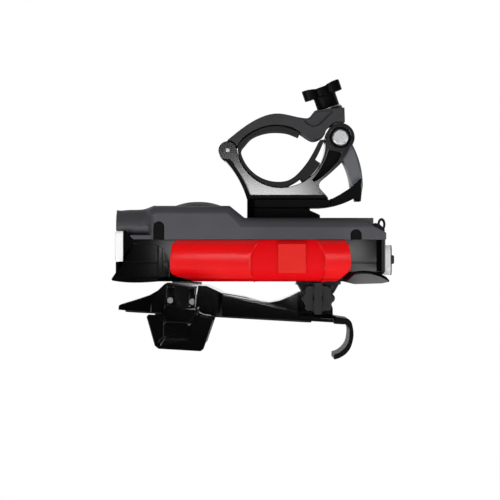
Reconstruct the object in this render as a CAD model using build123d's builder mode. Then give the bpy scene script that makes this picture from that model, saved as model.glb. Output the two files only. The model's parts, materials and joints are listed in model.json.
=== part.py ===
# Bicycle headlight with a horn, a phone holder and a quick-release handlebar clamp.
# Frame: X runs to the rear, Y away from the viewer, Z up with the clamp on top.
# The origin is the centre of the handlebar seat. Every size is in millimetres.
from build123d import *
import math
import os

# Fits and clearances
side_gap = 0.3          # beside a moving piece that lies between two walls
seat_gap = 0.1          # between faces that meet and are not glued
pin_fit = 0.05          # radial, a pin in its bore
slide_gap = 0.2         # around a sliding tongue

# Handlebar clamp
bar_d = 31.8            # handlebar that the band is made for
band_room = 2.4         # from the bar to the bore of the lower jaw
bore_x = 1.1            # the bore sits a little behind the seat centre
clamp_w = 24.0          # width of both jaws along the bar
ear_t = 4.0             # thickness of each ear
hinge_x = -20.9         # jaw hinge
hinge_z = -3.0
hinge_ear_r = 3.8
hinge_pin_d = 1.6
barrel_x = 25.5         # cross pin that the clamp bolt screws into
barrel_z = 2.4
barrel_ear_r = 5.9
barrel_head_d = 6.9
barrel_core_d = 9.0
jaw_base_z = -23.3
jaw_front_x = -12.9
jaw_heel_x = 20.6
pocket_depth = 2.5

# Clamp bolt and knob
bolt_lean = 19.0        # degrees from upright, to the front
bolt_d = 4.8
bolt_tip = 2.5          # from the cross pin's centre to the bolt's tip
bolt_room = 0.6         # radial room in the socket, which the swing of the jaw needs
seat_up = 12.9          # from the cross pin's centre to the seat of the knob
washer_t = 0.6
washer_d = 10.4
collar_d = 9.5
collar_h = 5.3
knob_h = 4.6
knob_core_r = 4.6
knob_lobe_r = 3.3
knob_lobe_at = 5.6
knob_turn = 110.0       # degrees, from +Y to the first lobe
knob_dish = 1.2         # depth of the knob's hollow top

# Quick-release shoe, its tongue and the rail on the lamp
shoe_half = 12.5
shoe_back_x = 12.6
shoe_t = 3.3
corner_cut = 3.0
neck_half = 8.3
neck_h = 2.1
flange_half = 10.3
flange_h = 1.3
tongue_root_x = -6.0
tongue_pivot_z = -25.0
tongue_half = 4.0
tongue_t = 1.6
grip_half = 10.5
tooth_x = 11.0
tooth_l = 2.2
rail_back_x = 17.1
shoe_arm_x = 21.0       # end of the shoe's arms beside the grip

# Lamp body
front_x = -66.2
rear_x = 43.4
deck_z = -30.9
hump_z = -26.0
hump_back_x = -20.0
slope_end_x = -13.9
deck_end_x = 38.6
parting_z = -39.8
floor_z = -56.8
tub_half = 26.6
upper_half = tub_half + 1.3
upper_top_half = upper_half - 1.1
nose_half = tub_half - 2.1
hood_half = tub_half - 4.3
panel_half = tub_half + 3.6
wall = 2.0
top_round = 6.0         # broad shoulder along both sides of the upper shell
hood_z = -27.8
hood_back_x = -52.4
lens_top_z = -36.3
lens_low_z = -48.8
lens_back_x = -63.2
lens_t = 1.6

# Horn
horn_x = -33.2
cap_d = 20.0
cap_h = 2.0
horn_hole_d = 17.0

# Battery cells
cell_d = 18.3
cell_l = 65.0
cell_front_x = -29.0

# Phone holder, in its own frame: U along the plate to the rear, V up from the pivot
pivot_x = 16.1
pivot_z = -63.8
plate_tilt = 3.3        # degrees, the plate falls to the rear
plate_low = -9.4
pad_t = 0.7
base_half = 20.0
hump_half = 25.0
knuckle_half = 9.2
knuckle_r = 5.0
bracket_ear_t = 3.5
tilt_bolt_d = 4.0
tilt_knob_r = 7.0
tilt_knob_t = 5.5
tilt_lobe_r = 1.9
jaw_u = -55.2           # middle of the two side jaws
jaw_out = 37.0          # outer face of each side jaw's finger, from the middle
finger_t = 3.5
rod_d = 2.4
rod_pitch = 8.8
rod_v = -3.8
gear_module = 0.8
gear_teeth = 8
gear_r = gear_module * gear_teeth / 2
rack_h = 1.9
hook_half = 15.0

# Worked out from the sizes above
bar_r = bar_d / 2
bore_r = bar_r + band_room
slot_half = clamp_w / 2 - ear_t
tine_half = slot_half - side_gap
lean = math.radians(bolt_lean)
tilt = math.radians(plate_tilt)
collar_z = seat_up + seat_gap + washer_t
knob_z = collar_z + collar_h
shoe_low_z = jaw_base_z - shoe_t
flange_top_z = shoe_low_z - neck_h
flange_low_z = flange_top_z - flange_h
channel_z = flange_low_z - slide_gap
inner_floor_z = floor_z + wall
jaw_in = jaw_out - finger_t
bracket_half = knuckle_half + side_gap + bracket_ear_t

bolt_frame = Plane(
    origin=(barrel_x, 0, barrel_z), x_dir=(0, 1, 0), z_dir=(-math.sin(lean), 0, math.cos(lean))
)
holder_side = Plane(
    origin=(pivot_x, 0, pivot_z), x_dir=(math.cos(tilt), 0, -math.sin(tilt)), z_dir=(0, -1, 0)
)
holder_top = Plane(
    origin=(pivot_x, 0, pivot_z),
    x_dir=(math.cos(tilt), 0, -math.sin(tilt)),
    z_dir=(math.sin(tilt), 0, math.cos(tilt)),
)


def block(x0, x1, y0, y1, z0, z1, mode=Mode.ADD):
    """A box between two corners of the part's frame"""
    with Locations(((x0 + x1) / 2, (y0 + y1) / 2, (z0 + z1) / 2)):
        Box(abs(x1 - x0), abs(y1 - y0), abs(z1 - z0), mode=mode)


def bar(x, z, radius, y0, y1, mode=Mode.ADD):
    """A round bar along Y"""
    with Locations((x, (y0 + y1) / 2, z)):
        Cylinder(radius, abs(y1 - y0), rotation=(90, 0, 0), mode=mode)


def post(x, y, radius, z0, z1, mode=Mode.ADD):
    """A round post along Z"""
    with Locations((x, y, (z0 + z1) / 2)):
        Cylinder(radius, abs(z1 - z0), mode=mode)


def rod(y, z, radius, x0, x1, mode=Mode.ADD):
    """A round rod along X"""
    with Locations(((x0 + x1) / 2, y, z)):
        Cylinder(radius, abs(x1 - x0), rotation=(0, 90, 0), mode=mode)


# Lower jaw: bore for the bar, hinge ears in front, bolt ears behind
shoe_screw_x = 7.0
shoe_screw_y = 6.3
shoe_screw_d = 2.5
shoe_screw_top = -18.6
shoe_screw_head_d = 4.0
shoe_screws_at = [(x, y) for x in (-shoe_screw_x, shoe_screw_x) for y in (-shoe_screw_y, shoe_screw_y)]
arm_pocket = [
    (20.7, -2.8), (25.9, -4.1), (24.5, -7.2), (20.9, -11.1), (16.8, -14.6),
    (14.8, -15.8), (14.1, -15.1), (16.9, -11.5), (19.3, -7.0),
]
with BuildPart() as lower_jaw:
    with BuildSketch(Plane.XZ):
        with BuildLine():
            flank = ThreePointArc(
                (hinge_x - 3.2, hinge_z - 2.0), (-17.7, -12.6), (jaw_front_x, jaw_base_z)
            )
            heel = Polyline(
                flank @ 1, (jaw_heel_x, jaw_base_z), (jaw_heel_x - 0.3, jaw_base_z + 1.1),
                (16.9, -18.5), (16.7, -17.0), (17.5, -15.6),
            )
            arm = ThreePointArc(heel @ 1, (22.3, -11.6), (26.8, -7.3))
            Polyline(
                arm @ 1, (30.0, -1.4), (barrel_x, barrel_z), (bore_x + bore_r, barrel_z),
                (bore_x - bore_r + 0.5, hinge_z), (hinge_x, hinge_z), flank @ 0,
            )
        make_face()
        with Locations((hinge_x, hinge_z)):
            Circle(hinge_ear_r)
        with Locations((barrel_x, barrel_z)):
            Circle(barrel_ear_r)
        with Locations((bore_x, 0)):
            Circle(bore_r, mode=Mode.SUBTRACT)
    extrude(amount=clamp_w / 2, both=True)
    rim = lower_jaw.edges().filter_by(lambda e: abs(abs(e.center().Y) - clamp_w / 2) < 0.01)
    front_rim = rim.filter_by(lambda e: e.center().X < -15 and e.center().Z < -9)
    base_rim = rim.filter_by(lambda e: abs(e.center().Z - jaw_base_z) < 0.01)
    chamfer(front_rim + base_rim, 1.8)
    with BuildSketch(Plane.XZ):
        with Locations((hinge_x, hinge_z)):
            Circle(hinge_ear_r + 0.5)
        with Locations((barrel_x, barrel_z)):
            Circle(barrel_ear_r + 0.5)
        Polygon((barrel_x, barrel_z), (22.6, -3.4), (25.6, -8.8), (36, -8.8), (36, barrel_z))
    extrude(amount=slot_half, both=True, mode=Mode.SUBTRACT)
    for side in (1, -1):
        with BuildSketch(Plane.XZ.offset(side * clamp_w / 2)):
            Polygon(*arm_pocket)
        extrude(amount=-side * pocket_depth, mode=Mode.SUBTRACT)
        with BuildSketch(Plane.XZ.offset(side * clamp_w / 2)):
            with Locations((barrel_x, barrel_z)):
                Circle(barrel_head_d / 2 + 0.9)
        extrude(amount=-side * 1.2, mode=Mode.SUBTRACT)
    bar(hinge_x, hinge_z, hinge_pin_d / 2, -clamp_w, clamp_w, mode=Mode.SUBTRACT)
    bar(barrel_x, barrel_z, barrel_head_d / 2, -clamp_w, clamp_w, mode=Mode.SUBTRACT)
    for x, y in shoe_screws_at:
        post(x, y, shoe_screw_d / 2, jaw_base_z - 1, shoe_screw_top, mode=Mode.SUBTRACT)

# Rubber band: the seat for the bar, a free end on top and an arm with a lug behind
band_r = bore_r - 0.15
with BuildPart() as liner_band:
    with BuildSketch(Plane.XZ):
        with BuildLine():
            seat = CenterArc((0, 0), bar_r, 199, 78)
            inner_rise = Spline(
                seat @ 1, (7.6, -12.9), (12.2, -7.4), (17.1, 1.3), tangents=[seat % 1, (0.45, 0.9)]
            )
            back = CenterArc((bore_x, 0), band_r, 195, 77)
            outer_rise = Spline(
                back @ 1, (5.2, -17.0), (9.3, -14.4), (14.1, -8.7), (17.3, -2.6), (19.2, 1.6),
                tangents=[back % 1, (0.45, 0.9)],
            )
            Line(inner_rise @ 1, outer_rise @ 1)
            inner_top = Spline(
                (8.5, 3.1), (4.4, 4.7), (0.2, 5.3), (-4.9, 5.0), (-8.4, 4.0), (-11.5, 2.3), (-14.0, -0.5),
                seat @ 0, tangents=[(-0.93, 0.36), seat % 0],
            )
            outer_top = Spline(
                (8.7, 4.6), (0.2, 7.1), (-9.4, 5.1), (-14.6, 1.6), back @ 0,
                tangents=[(-0.93, 0.36), back % 0],
            )
            Line(inner_top @ 0, outer_top @ 0)
        make_face()
        with BuildLine():
            lug = CenterArc((bore_x, 0), band_r, -60, 33)
            Polyline(lug @ 1, (15.3, -6.9), (13.0, -8.0), (8.8, -13.6), lug @ 0)
        make_face()
    extrude(amount=clamp_w / 2 - 0.5, both=True)

with BuildPart() as hinge_pin:
    bar(hinge_x, hinge_z, hinge_pin_d / 2, -clamp_w / 2, clamp_w / 2)

# Cross pin: plain ends in the ears, a thick core with the bolt's socket
barrel_core_half = 2.9
with BuildPart() as cross_pin:
    bar(barrel_x, barrel_z, barrel_head_d / 2, -clamp_w / 2 - 0.2, clamp_w / 2 + 0.2)
    chamfer(cross_pin.faces().filter_by(Axis.Y).edges(), 0.5)
    bar(barrel_x, barrel_z, barrel_core_d / 2, -barrel_core_half, barrel_core_half)
    with BuildSketch(bolt_frame):
        Circle(bolt_d / 2 + bolt_room)
    extrude(amount=barrel_core_d, mode=Mode.SUBTRACT)

# Upper jaw: arched band that turns on the hinge pin, with the seat of the knob behind
saddle_r = barrel_ear_r + 0.6
web_recess = [
    (10.1, 9.9), (11.8, 7.9), (14.2, 6.8), (16.7, 7.4), (20.0, 10.7), (22.5, 12.8),
    (22.3, 13.4), (16.2, 12.9), (12.7, 9.7),
]
with BuildPart() as upper_jaw:
    with BuildSketch(Plane.XZ):
        with BuildLine():
            crown = Spline(
                (hinge_x - 1.4, hinge_z + 3.2), (-18.0, 3.7), (-10.3, 9.1), (-0.5, 12.2),
                (9.7, 10.4), (12.5, 10.2),
            )
            saddle = CenterArc((barrel_x, barrel_z), saddle_r, 73, 97)
            Polyline(crown @ 1, (14.9, 13.3), (16.0, 13.6), (27.2, 14.7), saddle @ 0)
            soffit = Spline(
                saddle @ 1, (16.9, 2.0), (14.6, 1.5), (12.0, 2.6), (5.8, 6.4), (0.4, 7.5),
                (-5.0, 7.1), (-10.3, 5.1), (-14.8, 2.0), (-17.2, -1.6),
            )
            Polyline(soffit @ 1, (hinge_x, hinge_z), crown @ 0)
        make_face()
        with Locations((hinge_x, hinge_z)):
            Circle(hinge_ear_r - 0.2)
    extrude(amount=clamp_w / 2, both=True)
    with BuildSketch(bolt_frame.offset(seat_up - 4)):
        Circle(washer_d / 2 + 0.3)
    extrude(amount=4)
    with BuildSketch(bolt_frame.offset(seat_up)):
        Circle(washer_d / 2 + 0.5)
    extrude(amount=4, mode=Mode.SUBTRACT)
    with BuildSketch(bolt_frame):
        Circle(bolt_d / 2 + side_gap)
    extrude(amount=seat_up + 2, mode=Mode.SUBTRACT)
    for side in (1, -1):
        with BuildSketch(Plane.XZ.offset(side * clamp_w / 2)):
            Polygon(*web_recess)
        extrude(amount=-side * 0.8, mode=Mode.SUBTRACT)
        with BuildSketch(Plane.XZ.offset(side * (clamp_w / 2 + 1))):
            with Locations((hinge_x, hinge_z)):
                Circle(hinge_ear_r + 0.4)
        extrude(amount=-side * (clamp_w / 2 + 1 - tine_half), mode=Mode.SUBTRACT)
    bar(hinge_x, hinge_z, hinge_pin_d / 2 + pin_fit, -clamp_w, clamp_w, mode=Mode.SUBTRACT)

bolt_l = knob_z + knob_h - knob_dish - 1.2 - bolt_tip
with BuildPart() as clamp_bolt:
    with BuildSketch(bolt_frame.offset(bolt_tip)):
        Circle(bolt_d / 2)
    extrude(amount=bolt_l)
    chamfer(clamp_bolt.edges().sort_by(Axis.Z)[0], 0.5)

with BuildPart() as knob_washer:
    with BuildSketch(bolt_frame.offset(seat_up + seat_gap / 2)):
        Circle(washer_d / 2)
        Circle(bolt_d / 2 + pin_fit, mode=Mode.SUBTRACT)
    extrude(amount=washer_t)

# Knob: three lobes on a round collar, with a dished top
with BuildPart() as clamp_knob:
    with BuildSketch(bolt_frame.offset(collar_z)):
        Circle(collar_d / 2)
    extrude(amount=collar_h)
    with BuildSketch(bolt_frame.offset(knob_z)):
        Circle(knob_core_r)
        with PolarLocations(knob_lobe_at, 3, start_angle=knob_turn):
            Circle(knob_lobe_r)
    extrude(amount=knob_h)
    knob_r = knob_lobe_at + knob_lobe_r
    dish_ball = (knob_r ** 2 + knob_dish ** 2) / (2 * knob_dish)
    with Locations(bolt_frame.offset(knob_z + knob_h - knob_dish + dish_ball)):
        Sphere(dish_ball, mode=Mode.SUBTRACT)
    with BuildSketch(bolt_frame.offset(bolt_tip)):
        Circle(bolt_d / 2)
    extrude(amount=bolt_l, mode=Mode.SUBTRACT)

# Lock lever: a fork on the cross pin that hangs down into the end of the tongue
lever_ring_r = 5.2
with BuildPart() as lock_lever:
    with BuildSketch(Plane.XZ):
        with BuildLine():
            outer = ThreePointArc((30.3, 0.4), (33.9, -8.6), (35.0, -17.5))
            tip = Polyline(
                outer @ 1, (34.5, -20.5), (34.2, -23.8), (31.9, -23.8), (31.6, -22.0), (29.9, -17.5),
            )
            inner = ThreePointArc(tip @ 1, (28.7, -11.7), (26.5, -6.8))
            Polyline(inner @ 1, (barrel_x - 1, barrel_z - 3), (barrel_x, barrel_z), outer @ 0)
        make_face()
        with Locations((barrel_x, barrel_z)):
            Circle(lever_ring_r)
    extrude(amount=tine_half, both=True)
    bar(barrel_x, barrel_z, barrel_head_d / 2 + pin_fit, -clamp_w, clamp_w, mode=Mode.SUBTRACT)
    bar(barrel_x, barrel_z, lever_ring_r + 2.4, -barrel_core_half - side_gap,
        barrel_core_half + side_gap, mode=Mode.SUBTRACT)
    blade = lock_lever.edges().filter_by(lambda e: abs(abs(e.center().Y) - tine_half) < 0.01)
    chamfer(blade.filter_by(lambda e: e.center().X > 30 and e.center().Z < -5), 0.5)

# Slide shoe under the jaw: plate, neck and flanges, a slot for the tongue and two arms beside its grip
sill_top_z = flange_low_z + 0.45
with BuildPart() as slide_shoe:
    with BuildSketch(Plane.XY.offset(shoe_low_z)):
        Polygon(
            (jaw_front_x, -shoe_half + corner_cut), (jaw_front_x + corner_cut, -shoe_half),
            (shoe_back_x, -shoe_half), (shoe_back_x, shoe_half),
            (jaw_front_x + corner_cut, shoe_half), (jaw_front_x, shoe_half - corner_cut),
        )
    extrude(amount=shoe_t)
    neck_front_x = jaw_front_x + corner_cut
    block(neck_front_x, shoe_back_x, -neck_half, neck_half, flange_top_z, shoe_low_z)
    block(neck_front_x, shoe_back_x, -flange_half, flange_half, flange_low_z, flange_top_z)
    slot_half_y = tongue_half + side_gap
    block(tongue_root_x - seat_gap, shoe_back_x, -slot_half_y, slot_half_y, flange_low_z,
          jaw_base_z, mode=Mode.SUBTRACT)
    block(neck_front_x, tongue_root_x, -slot_half_y, slot_half_y, flange_low_z, sill_top_z + slide_gap,
          mode=Mode.SUBTRACT)
    for side in (1, -1):
        with BuildSketch(Plane.XZ.offset(side * shoe_half)):
            Polygon(
                (shoe_back_x - 0.5, jaw_base_z), (shoe_arm_x, jaw_base_z), (shoe_arm_x, shoe_low_z + 1.0),
                (shoe_arm_x - 1.8, shoe_low_z + 0.2), (rail_back_x, shoe_low_z),
                (shoe_back_x - 0.5, shoe_low_z),
            )
        extrude(amount=-side * (shoe_half - grip_half - side_gap))
    for x, y in shoe_screws_at:
        post(x, y, shoe_screw_d / 2, flange_low_z, jaw_base_z, mode=Mode.SUBTRACT)
        post(x, y, shoe_screw_head_d / 2, flange_low_z, flange_low_z + 1.2, mode=Mode.SUBTRACT)

with BuildPart() as shoe_screws:
    for x, y in shoe_screws_at:
        post(x, y, shoe_screw_d / 2, flange_low_z + 0.1, shoe_screw_top - 0.3)
        post(x, y, shoe_screw_head_d / 2 - 0.1, flange_low_z + 0.1, flange_low_z + 1.2)

# Release tongue: a thin strip in the shoe, a tooth, and a wide grip with two end cheeks
strip_top_z = tongue_pivot_z + tongue_t / 2
strip_low_z = tongue_pivot_z - tongue_t / 2
tooth_low_z = sill_top_z + 0.05
with BuildPart() as release_tongue:
    block(tongue_root_x, shoe_back_x + side_gap, -tongue_half, tongue_half, strip_low_z, strip_top_z)
    block(tooth_x, tooth_x + tooth_l, -tongue_half + 0.2, tongue_half - 0.2, tooth_low_z, strip_low_z)
    with BuildSketch(Plane.XZ):
        with BuildLine():
            under = ThreePointArc((rail_back_x, shoe_low_z), (25.0, -25.3), (31.8, -22.5))
            Polyline(under @ 1, (34.0, -20.8), (34.3, -14.3), (29.8, -18.3), (25.4, -21.1),
                     (22.2, -22.8), (21.4, -22.9), (21.3, strip_top_z - 0.5),
                     (shoe_back_x + side_gap, strip_top_z - 0.3),
                     (shoe_back_x + side_gap, shoe_low_z), under @ 0)
        make_face()
    extrude(amount=grip_half, both=True)
    block(29.4, 36, -slot_half - 0.05, slot_half + 0.05, -27, -12, mode=Mode.SUBTRACT)

# Rail on the lamp: a T channel, closed in front and open behind, with a sill for the tooth
mouth_half = neck_half + side_gap
channel_half = flange_half + side_gap
channel_front_x = neck_front_x - side_gap
rail_top_z = shoe_low_z - slide_gap
rail_lip_z = flange_top_z + slide_gap
rail_screw_x = 7.5
rail_screw_y = 6.6
rail_screw_d = 2.2
rail_screw_head_d = 4.0
rail_screw_head_h = 0.5
rail_screw_end = -34.9
rail_screws_at = [(x, y) for x in (-rail_screw_x, rail_screw_x) for y in (-rail_screw_y, rail_screw_y)]
with BuildPart() as lamp_rail:
    with BuildSketch(Plane.XY.offset(deck_z)):
        Polygon(
            (jaw_front_x, -shoe_half + corner_cut), (jaw_front_x + corner_cut, -shoe_half),
            (rail_back_x, -shoe_half), (rail_back_x, shoe_half),
            (jaw_front_x + corner_cut, shoe_half), (jaw_front_x, shoe_half - corner_cut),
        )
    extrude(amount=rail_top_z - deck_z)
    block(channel_front_x, rail_back_x, -mouth_half, mouth_half, channel_z, rail_top_z, mode=Mode.SUBTRACT)
    block(channel_front_x, rail_back_x, -channel_half, channel_half, channel_z, rail_lip_z,
          mode=Mode.SUBTRACT)
    with BuildSketch(Plane.XZ):
        Polygon((10.9, rail_top_z + 1), (10.9, rail_top_z), (15.5, -28.8), (rail_back_x, -29.6),
                (rail_back_x + 1, -29.6), (rail_back_x + 1, rail_top_z + 1))
    extrude(amount=shoe_half, both=True, mode=Mode.SUBTRACT)
    sill_x = tooth_x + tooth_l + side_gap
    block(sill_x, sill_x + 1.8, -tongue_half + 0.2, tongue_half - 0.2, channel_z, sill_top_z)
    for x, y in rail_screws_at:
        post(x, y, rail_screw_d / 2, deck_z, channel_z, mode=Mode.SUBTRACT)
        post(x, y, rail_screw_head_d / 2, channel_z - rail_screw_head_h, channel_z, mode=Mode.SUBTRACT)

with BuildPart() as rail_screws:
    for x, y in rail_screws_at:
        post(x, y, rail_screw_d / 2, rail_screw_end, channel_z - 0.1)
        post(x, y, rail_screw_head_d / 2 - 0.1, channel_z - rail_screw_head_h, channel_z - 0.1)

# Upper shell: hood over the lens, hump over the horn, flat deck and a cut rear corner
step_z = -34.4
tail_z = -37.0
ledge_z = parting_z + 1.9
hood_sections = [
    (front_x, 0.0), (-60.0, 0.0), (-57.5, 0.02), (-55.5, 0.3), (-53.8, 0.95), (-52.2, 1.95), (-50.6, 2.85),
]
cheek_top_x = -61.6     # slanted back edge of the cheeks beside the lens
cheek_low_x = -59.2
ledge_x = cheek_low_x + (cheek_top_x - cheek_low_x) * (ledge_z - parting_z) / (lens_top_z - parting_z)
tab_front_x = -48.6
tab_front_top = -32.4
tab_rear_x = 31.2
tab_rear_top = -35.6
tab_w = 4.4
tab_in = tub_half - 1.0
tab_out = tub_half + 0.6
tabs = [(tab_front_x, tab_front_top), (tab_rear_x, tab_rear_top)]
port_x = 40.1
port_y = -15.0
port_t = 2.6
port_w = 7.6
with BuildPart() as upper_shell:
    with BuildSketch(Plane.XZ):
        Polygon(
            (hood_back_x - 1.2, parting_z), (hood_back_x - 1.2, hood_z), (hood_back_x + 1.9, hump_z),
            (hump_back_x, hump_z), (slope_end_x, deck_z), (deck_end_x, deck_z),
            (deck_end_x, step_z), (rear_x, tail_z), (rear_x, parting_z),
        )
    extrude(amount=upper_half, both=True)
    top_edges = upper_shell.edges().filter_by(
        lambda e: abs(abs(e.center().Y) - upper_half) < 0.01
        and e.center().Z > deck_z - 0.5 and e.center().X < deck_end_x - 0.1
        and abs(e.tangent_at(0.5).Z) < 0.9
    )
    fillet(top_edges, top_round)
    with BuildSketch(Plane.YZ):
        Polygon(
            (-upper_top_half, hump_z + 1), (upper_top_half, hump_z + 1),
            (upper_half, parting_z), (-upper_half, parting_z),
        )
    extrude(amount=80, both=True, mode=Mode.INTERSECT)
    for side in (1, -1):
        with BuildSketch(Plane.XY.offset(parting_z)):
            Polygon(
                (hood_back_x - 1.3, side * (hood_half - 1)), (hood_back_x + 0.1, side * (upper_half - 2.8)),
                (hood_back_x + 0.8, side * (upper_half - 1.5)), (hood_back_x + 1.9, side * (upper_half - 0.5)),
                (hood_back_x + 3.6, side * (upper_half + 0.1)), (hood_back_x - 1.3, side * (upper_half + 0.1)),
            )
        extrude(amount=20, mode=Mode.SUBTRACT)
        with BuildSketch(Plane.XZ.offset(side * (upper_half + 1))):
            Polygon((32.5, deck_z), (deck_end_x, step_z), (rear_x, tail_z), (rear_x + 1, tail_z),
                    (rear_x + 1, deck_z + 1), (32.5, deck_z + 1))
        extrude(amount=-side * 8.0, mode=Mode.SUBTRACT)
    for x, grown in hood_sections:
        with BuildSketch(Plane.YZ.offset(x)):
            with BuildLine():
                side_y = hood_half + grown
                top_z = hood_z + 0.6 * grown
                near_side = Spline((-side_y + 9.3, top_z), (-side_y + 1.7, top_z - 2.6), (-side_y, -34.0),
                                   (-side_y + 1.7, ledge_z))
                far_side = Spline((side_y - 9.3, top_z), (side_y - 1.7, top_z - 2.6), (side_y, -34.0),
                                  (side_y - 1.7, ledge_z))
                Line(near_side @ 0, far_side @ 0)
                Line(near_side @ 1, far_side @ 1)
            make_face()
    loft()
    with BuildSketch(Plane.XZ):
        Polygon(
            (ledge_x + side_gap, ledge_z), (hood_back_x + 1, ledge_z), (hood_back_x + 1, parting_z),
            (cheek_low_x + side_gap, parting_z),
        )
    extrude(amount=tub_half - 0.4, both=True)
    block(front_x - 1, -61.4, -upper_half, upper_half, parting_z - 5, lens_top_z + 0.1, mode=Mode.SUBTRACT)
    with BuildSketch(Plane.YZ.offset(front_x + 2.2)):
        Polygon(
            (-hood_half + 4.8, -31), (-hood_half + 8.3, -29.8),
            (hood_half - 8.3, -29.8), (hood_half - 4.8, -31),
            (hood_half - 3.7, -34), (hood_half - 3.7, -42),
            (-hood_half + 3.7, -42), (-hood_half + 3.7, -34),
        )
    extrude(amount=20, mode=Mode.SUBTRACT)
    with BuildSketch(Plane.XZ):
        Polygon(
            (-49.4, parting_z), (-49.4, hump_z - wall), (hump_back_x - 0.9, hump_z - wall),
            (slope_end_x - 0.7, deck_z - wall), (deck_end_x - wall, deck_z - wall),
            (deck_end_x - wall, parting_z),
        )
    extrude(amount=tub_half - 2.4, both=True, mode=Mode.SUBTRACT)
    block(-63, rear_x - wall, -nose_half + 0.7, nose_half - 0.7, parting_z - 1, parting_z + 0.5,
          mode=Mode.SUBTRACT)
    block(deck_end_x - wall, rear_x - wall, -22, 22, parting_z - 1, tail_z - 0.4, mode=Mode.SUBTRACT)
    for x, top in tabs:
        for side in (1, -1):
            with BuildSketch(Plane.XZ.offset(side * (upper_half + 1))):
                with Locations((x, (parting_z + top - tab_w / 2) / 2 - 1)):
                    Rectangle(tab_w, top - tab_w / 2 - parting_z + 2)
                with Locations((x, top - tab_w / 2)):
                    Circle(tab_w / 2)
            extrude(amount=-side * (upper_half + 1 - tab_in + 0.1), mode=Mode.SUBTRACT)
    block(port_x - port_t / 2, port_x + port_t / 2, port_y - port_w / 2, port_y + port_w / 2,
          parting_z - 1, deck_z, mode=Mode.SUBTRACT)
    post(horn_x, 0, horn_hole_d / 2, hump_z - 4, hump_z + 1, mode=Mode.SUBTRACT)
    for x, y in rail_screws_at:
        post(x, y, rail_screw_d / 2 + 1.6, rail_screw_end, deck_z - wall)
        post(x, y, rail_screw_d / 2, rail_screw_end - 1, deck_z, mode=Mode.SUBTRACT)

# Horn under the hump, and its slotted cap
horn_r = 12.2
horn_top_z = hump_z - wall
horn_axis = Axis((horn_x, 0, 0), (0, 0, 1))
with BuildPart() as horn_speaker:
    with BuildSketch(Plane.XZ):
        Polygon(
            (horn_x, horn_top_z - 2.2), (horn_x + 4.0, horn_top_z - 2.6), (horn_x + 4.5, horn_top_z - 3.6),
            (horn_x + 9.8, horn_top_z - 0.6), (horn_x + 9.8, horn_top_z), (horn_x + horn_r, horn_top_z),
            (horn_x + horn_r, horn_top_z - 1.6), (horn_x + 11.2, horn_top_z - 1.6),
            (horn_x + 10.2, horn_top_z - 4.0), (horn_x + 7.6, horn_top_z - 5.2),
            (horn_x + 7.6, horn_top_z - 7.4), (horn_x, horn_top_z - 7.4),
        )
    revolve(axis=horn_axis)

cap_r = cap_d / 2
plug_r = horn_hole_d / 2 - 0.1
slit_pitch = 2.4
slit_w = 1.1
with BuildPart() as horn_cap:
    with BuildSketch(Plane.XZ):
        with BuildLine():
            dome = ThreePointArc(
                (horn_x, hump_z + cap_h), (horn_x + 5.6, hump_z + cap_h - 0.45),
                (horn_x + cap_r - 0.4, hump_z + 0.35),
            )
            Polyline(
                dome @ 1, (horn_x + cap_r, hump_z), (horn_x + plug_r, hump_z), (horn_x + plug_r, horn_top_z),
                (horn_x + plug_r - 1.1, horn_top_z), (horn_x + plug_r - 1.1, hump_z + 0.3),
                (horn_x, hump_z + 0.9), dome @ 0,
            )
        make_face()
    revolve(axis=horn_axis)
    for step in range(-2, 3):
        slit_y = slit_pitch * step
        slit_l = math.sqrt((plug_r - 1.8) ** 2 - slit_y ** 2)
        block(horn_x - slit_l, horn_x + slit_l, slit_y - slit_w / 2, slit_y + slit_w / 2,
              hump_z - 3, hump_z + 3, mode=Mode.SUBTRACT)

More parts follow.
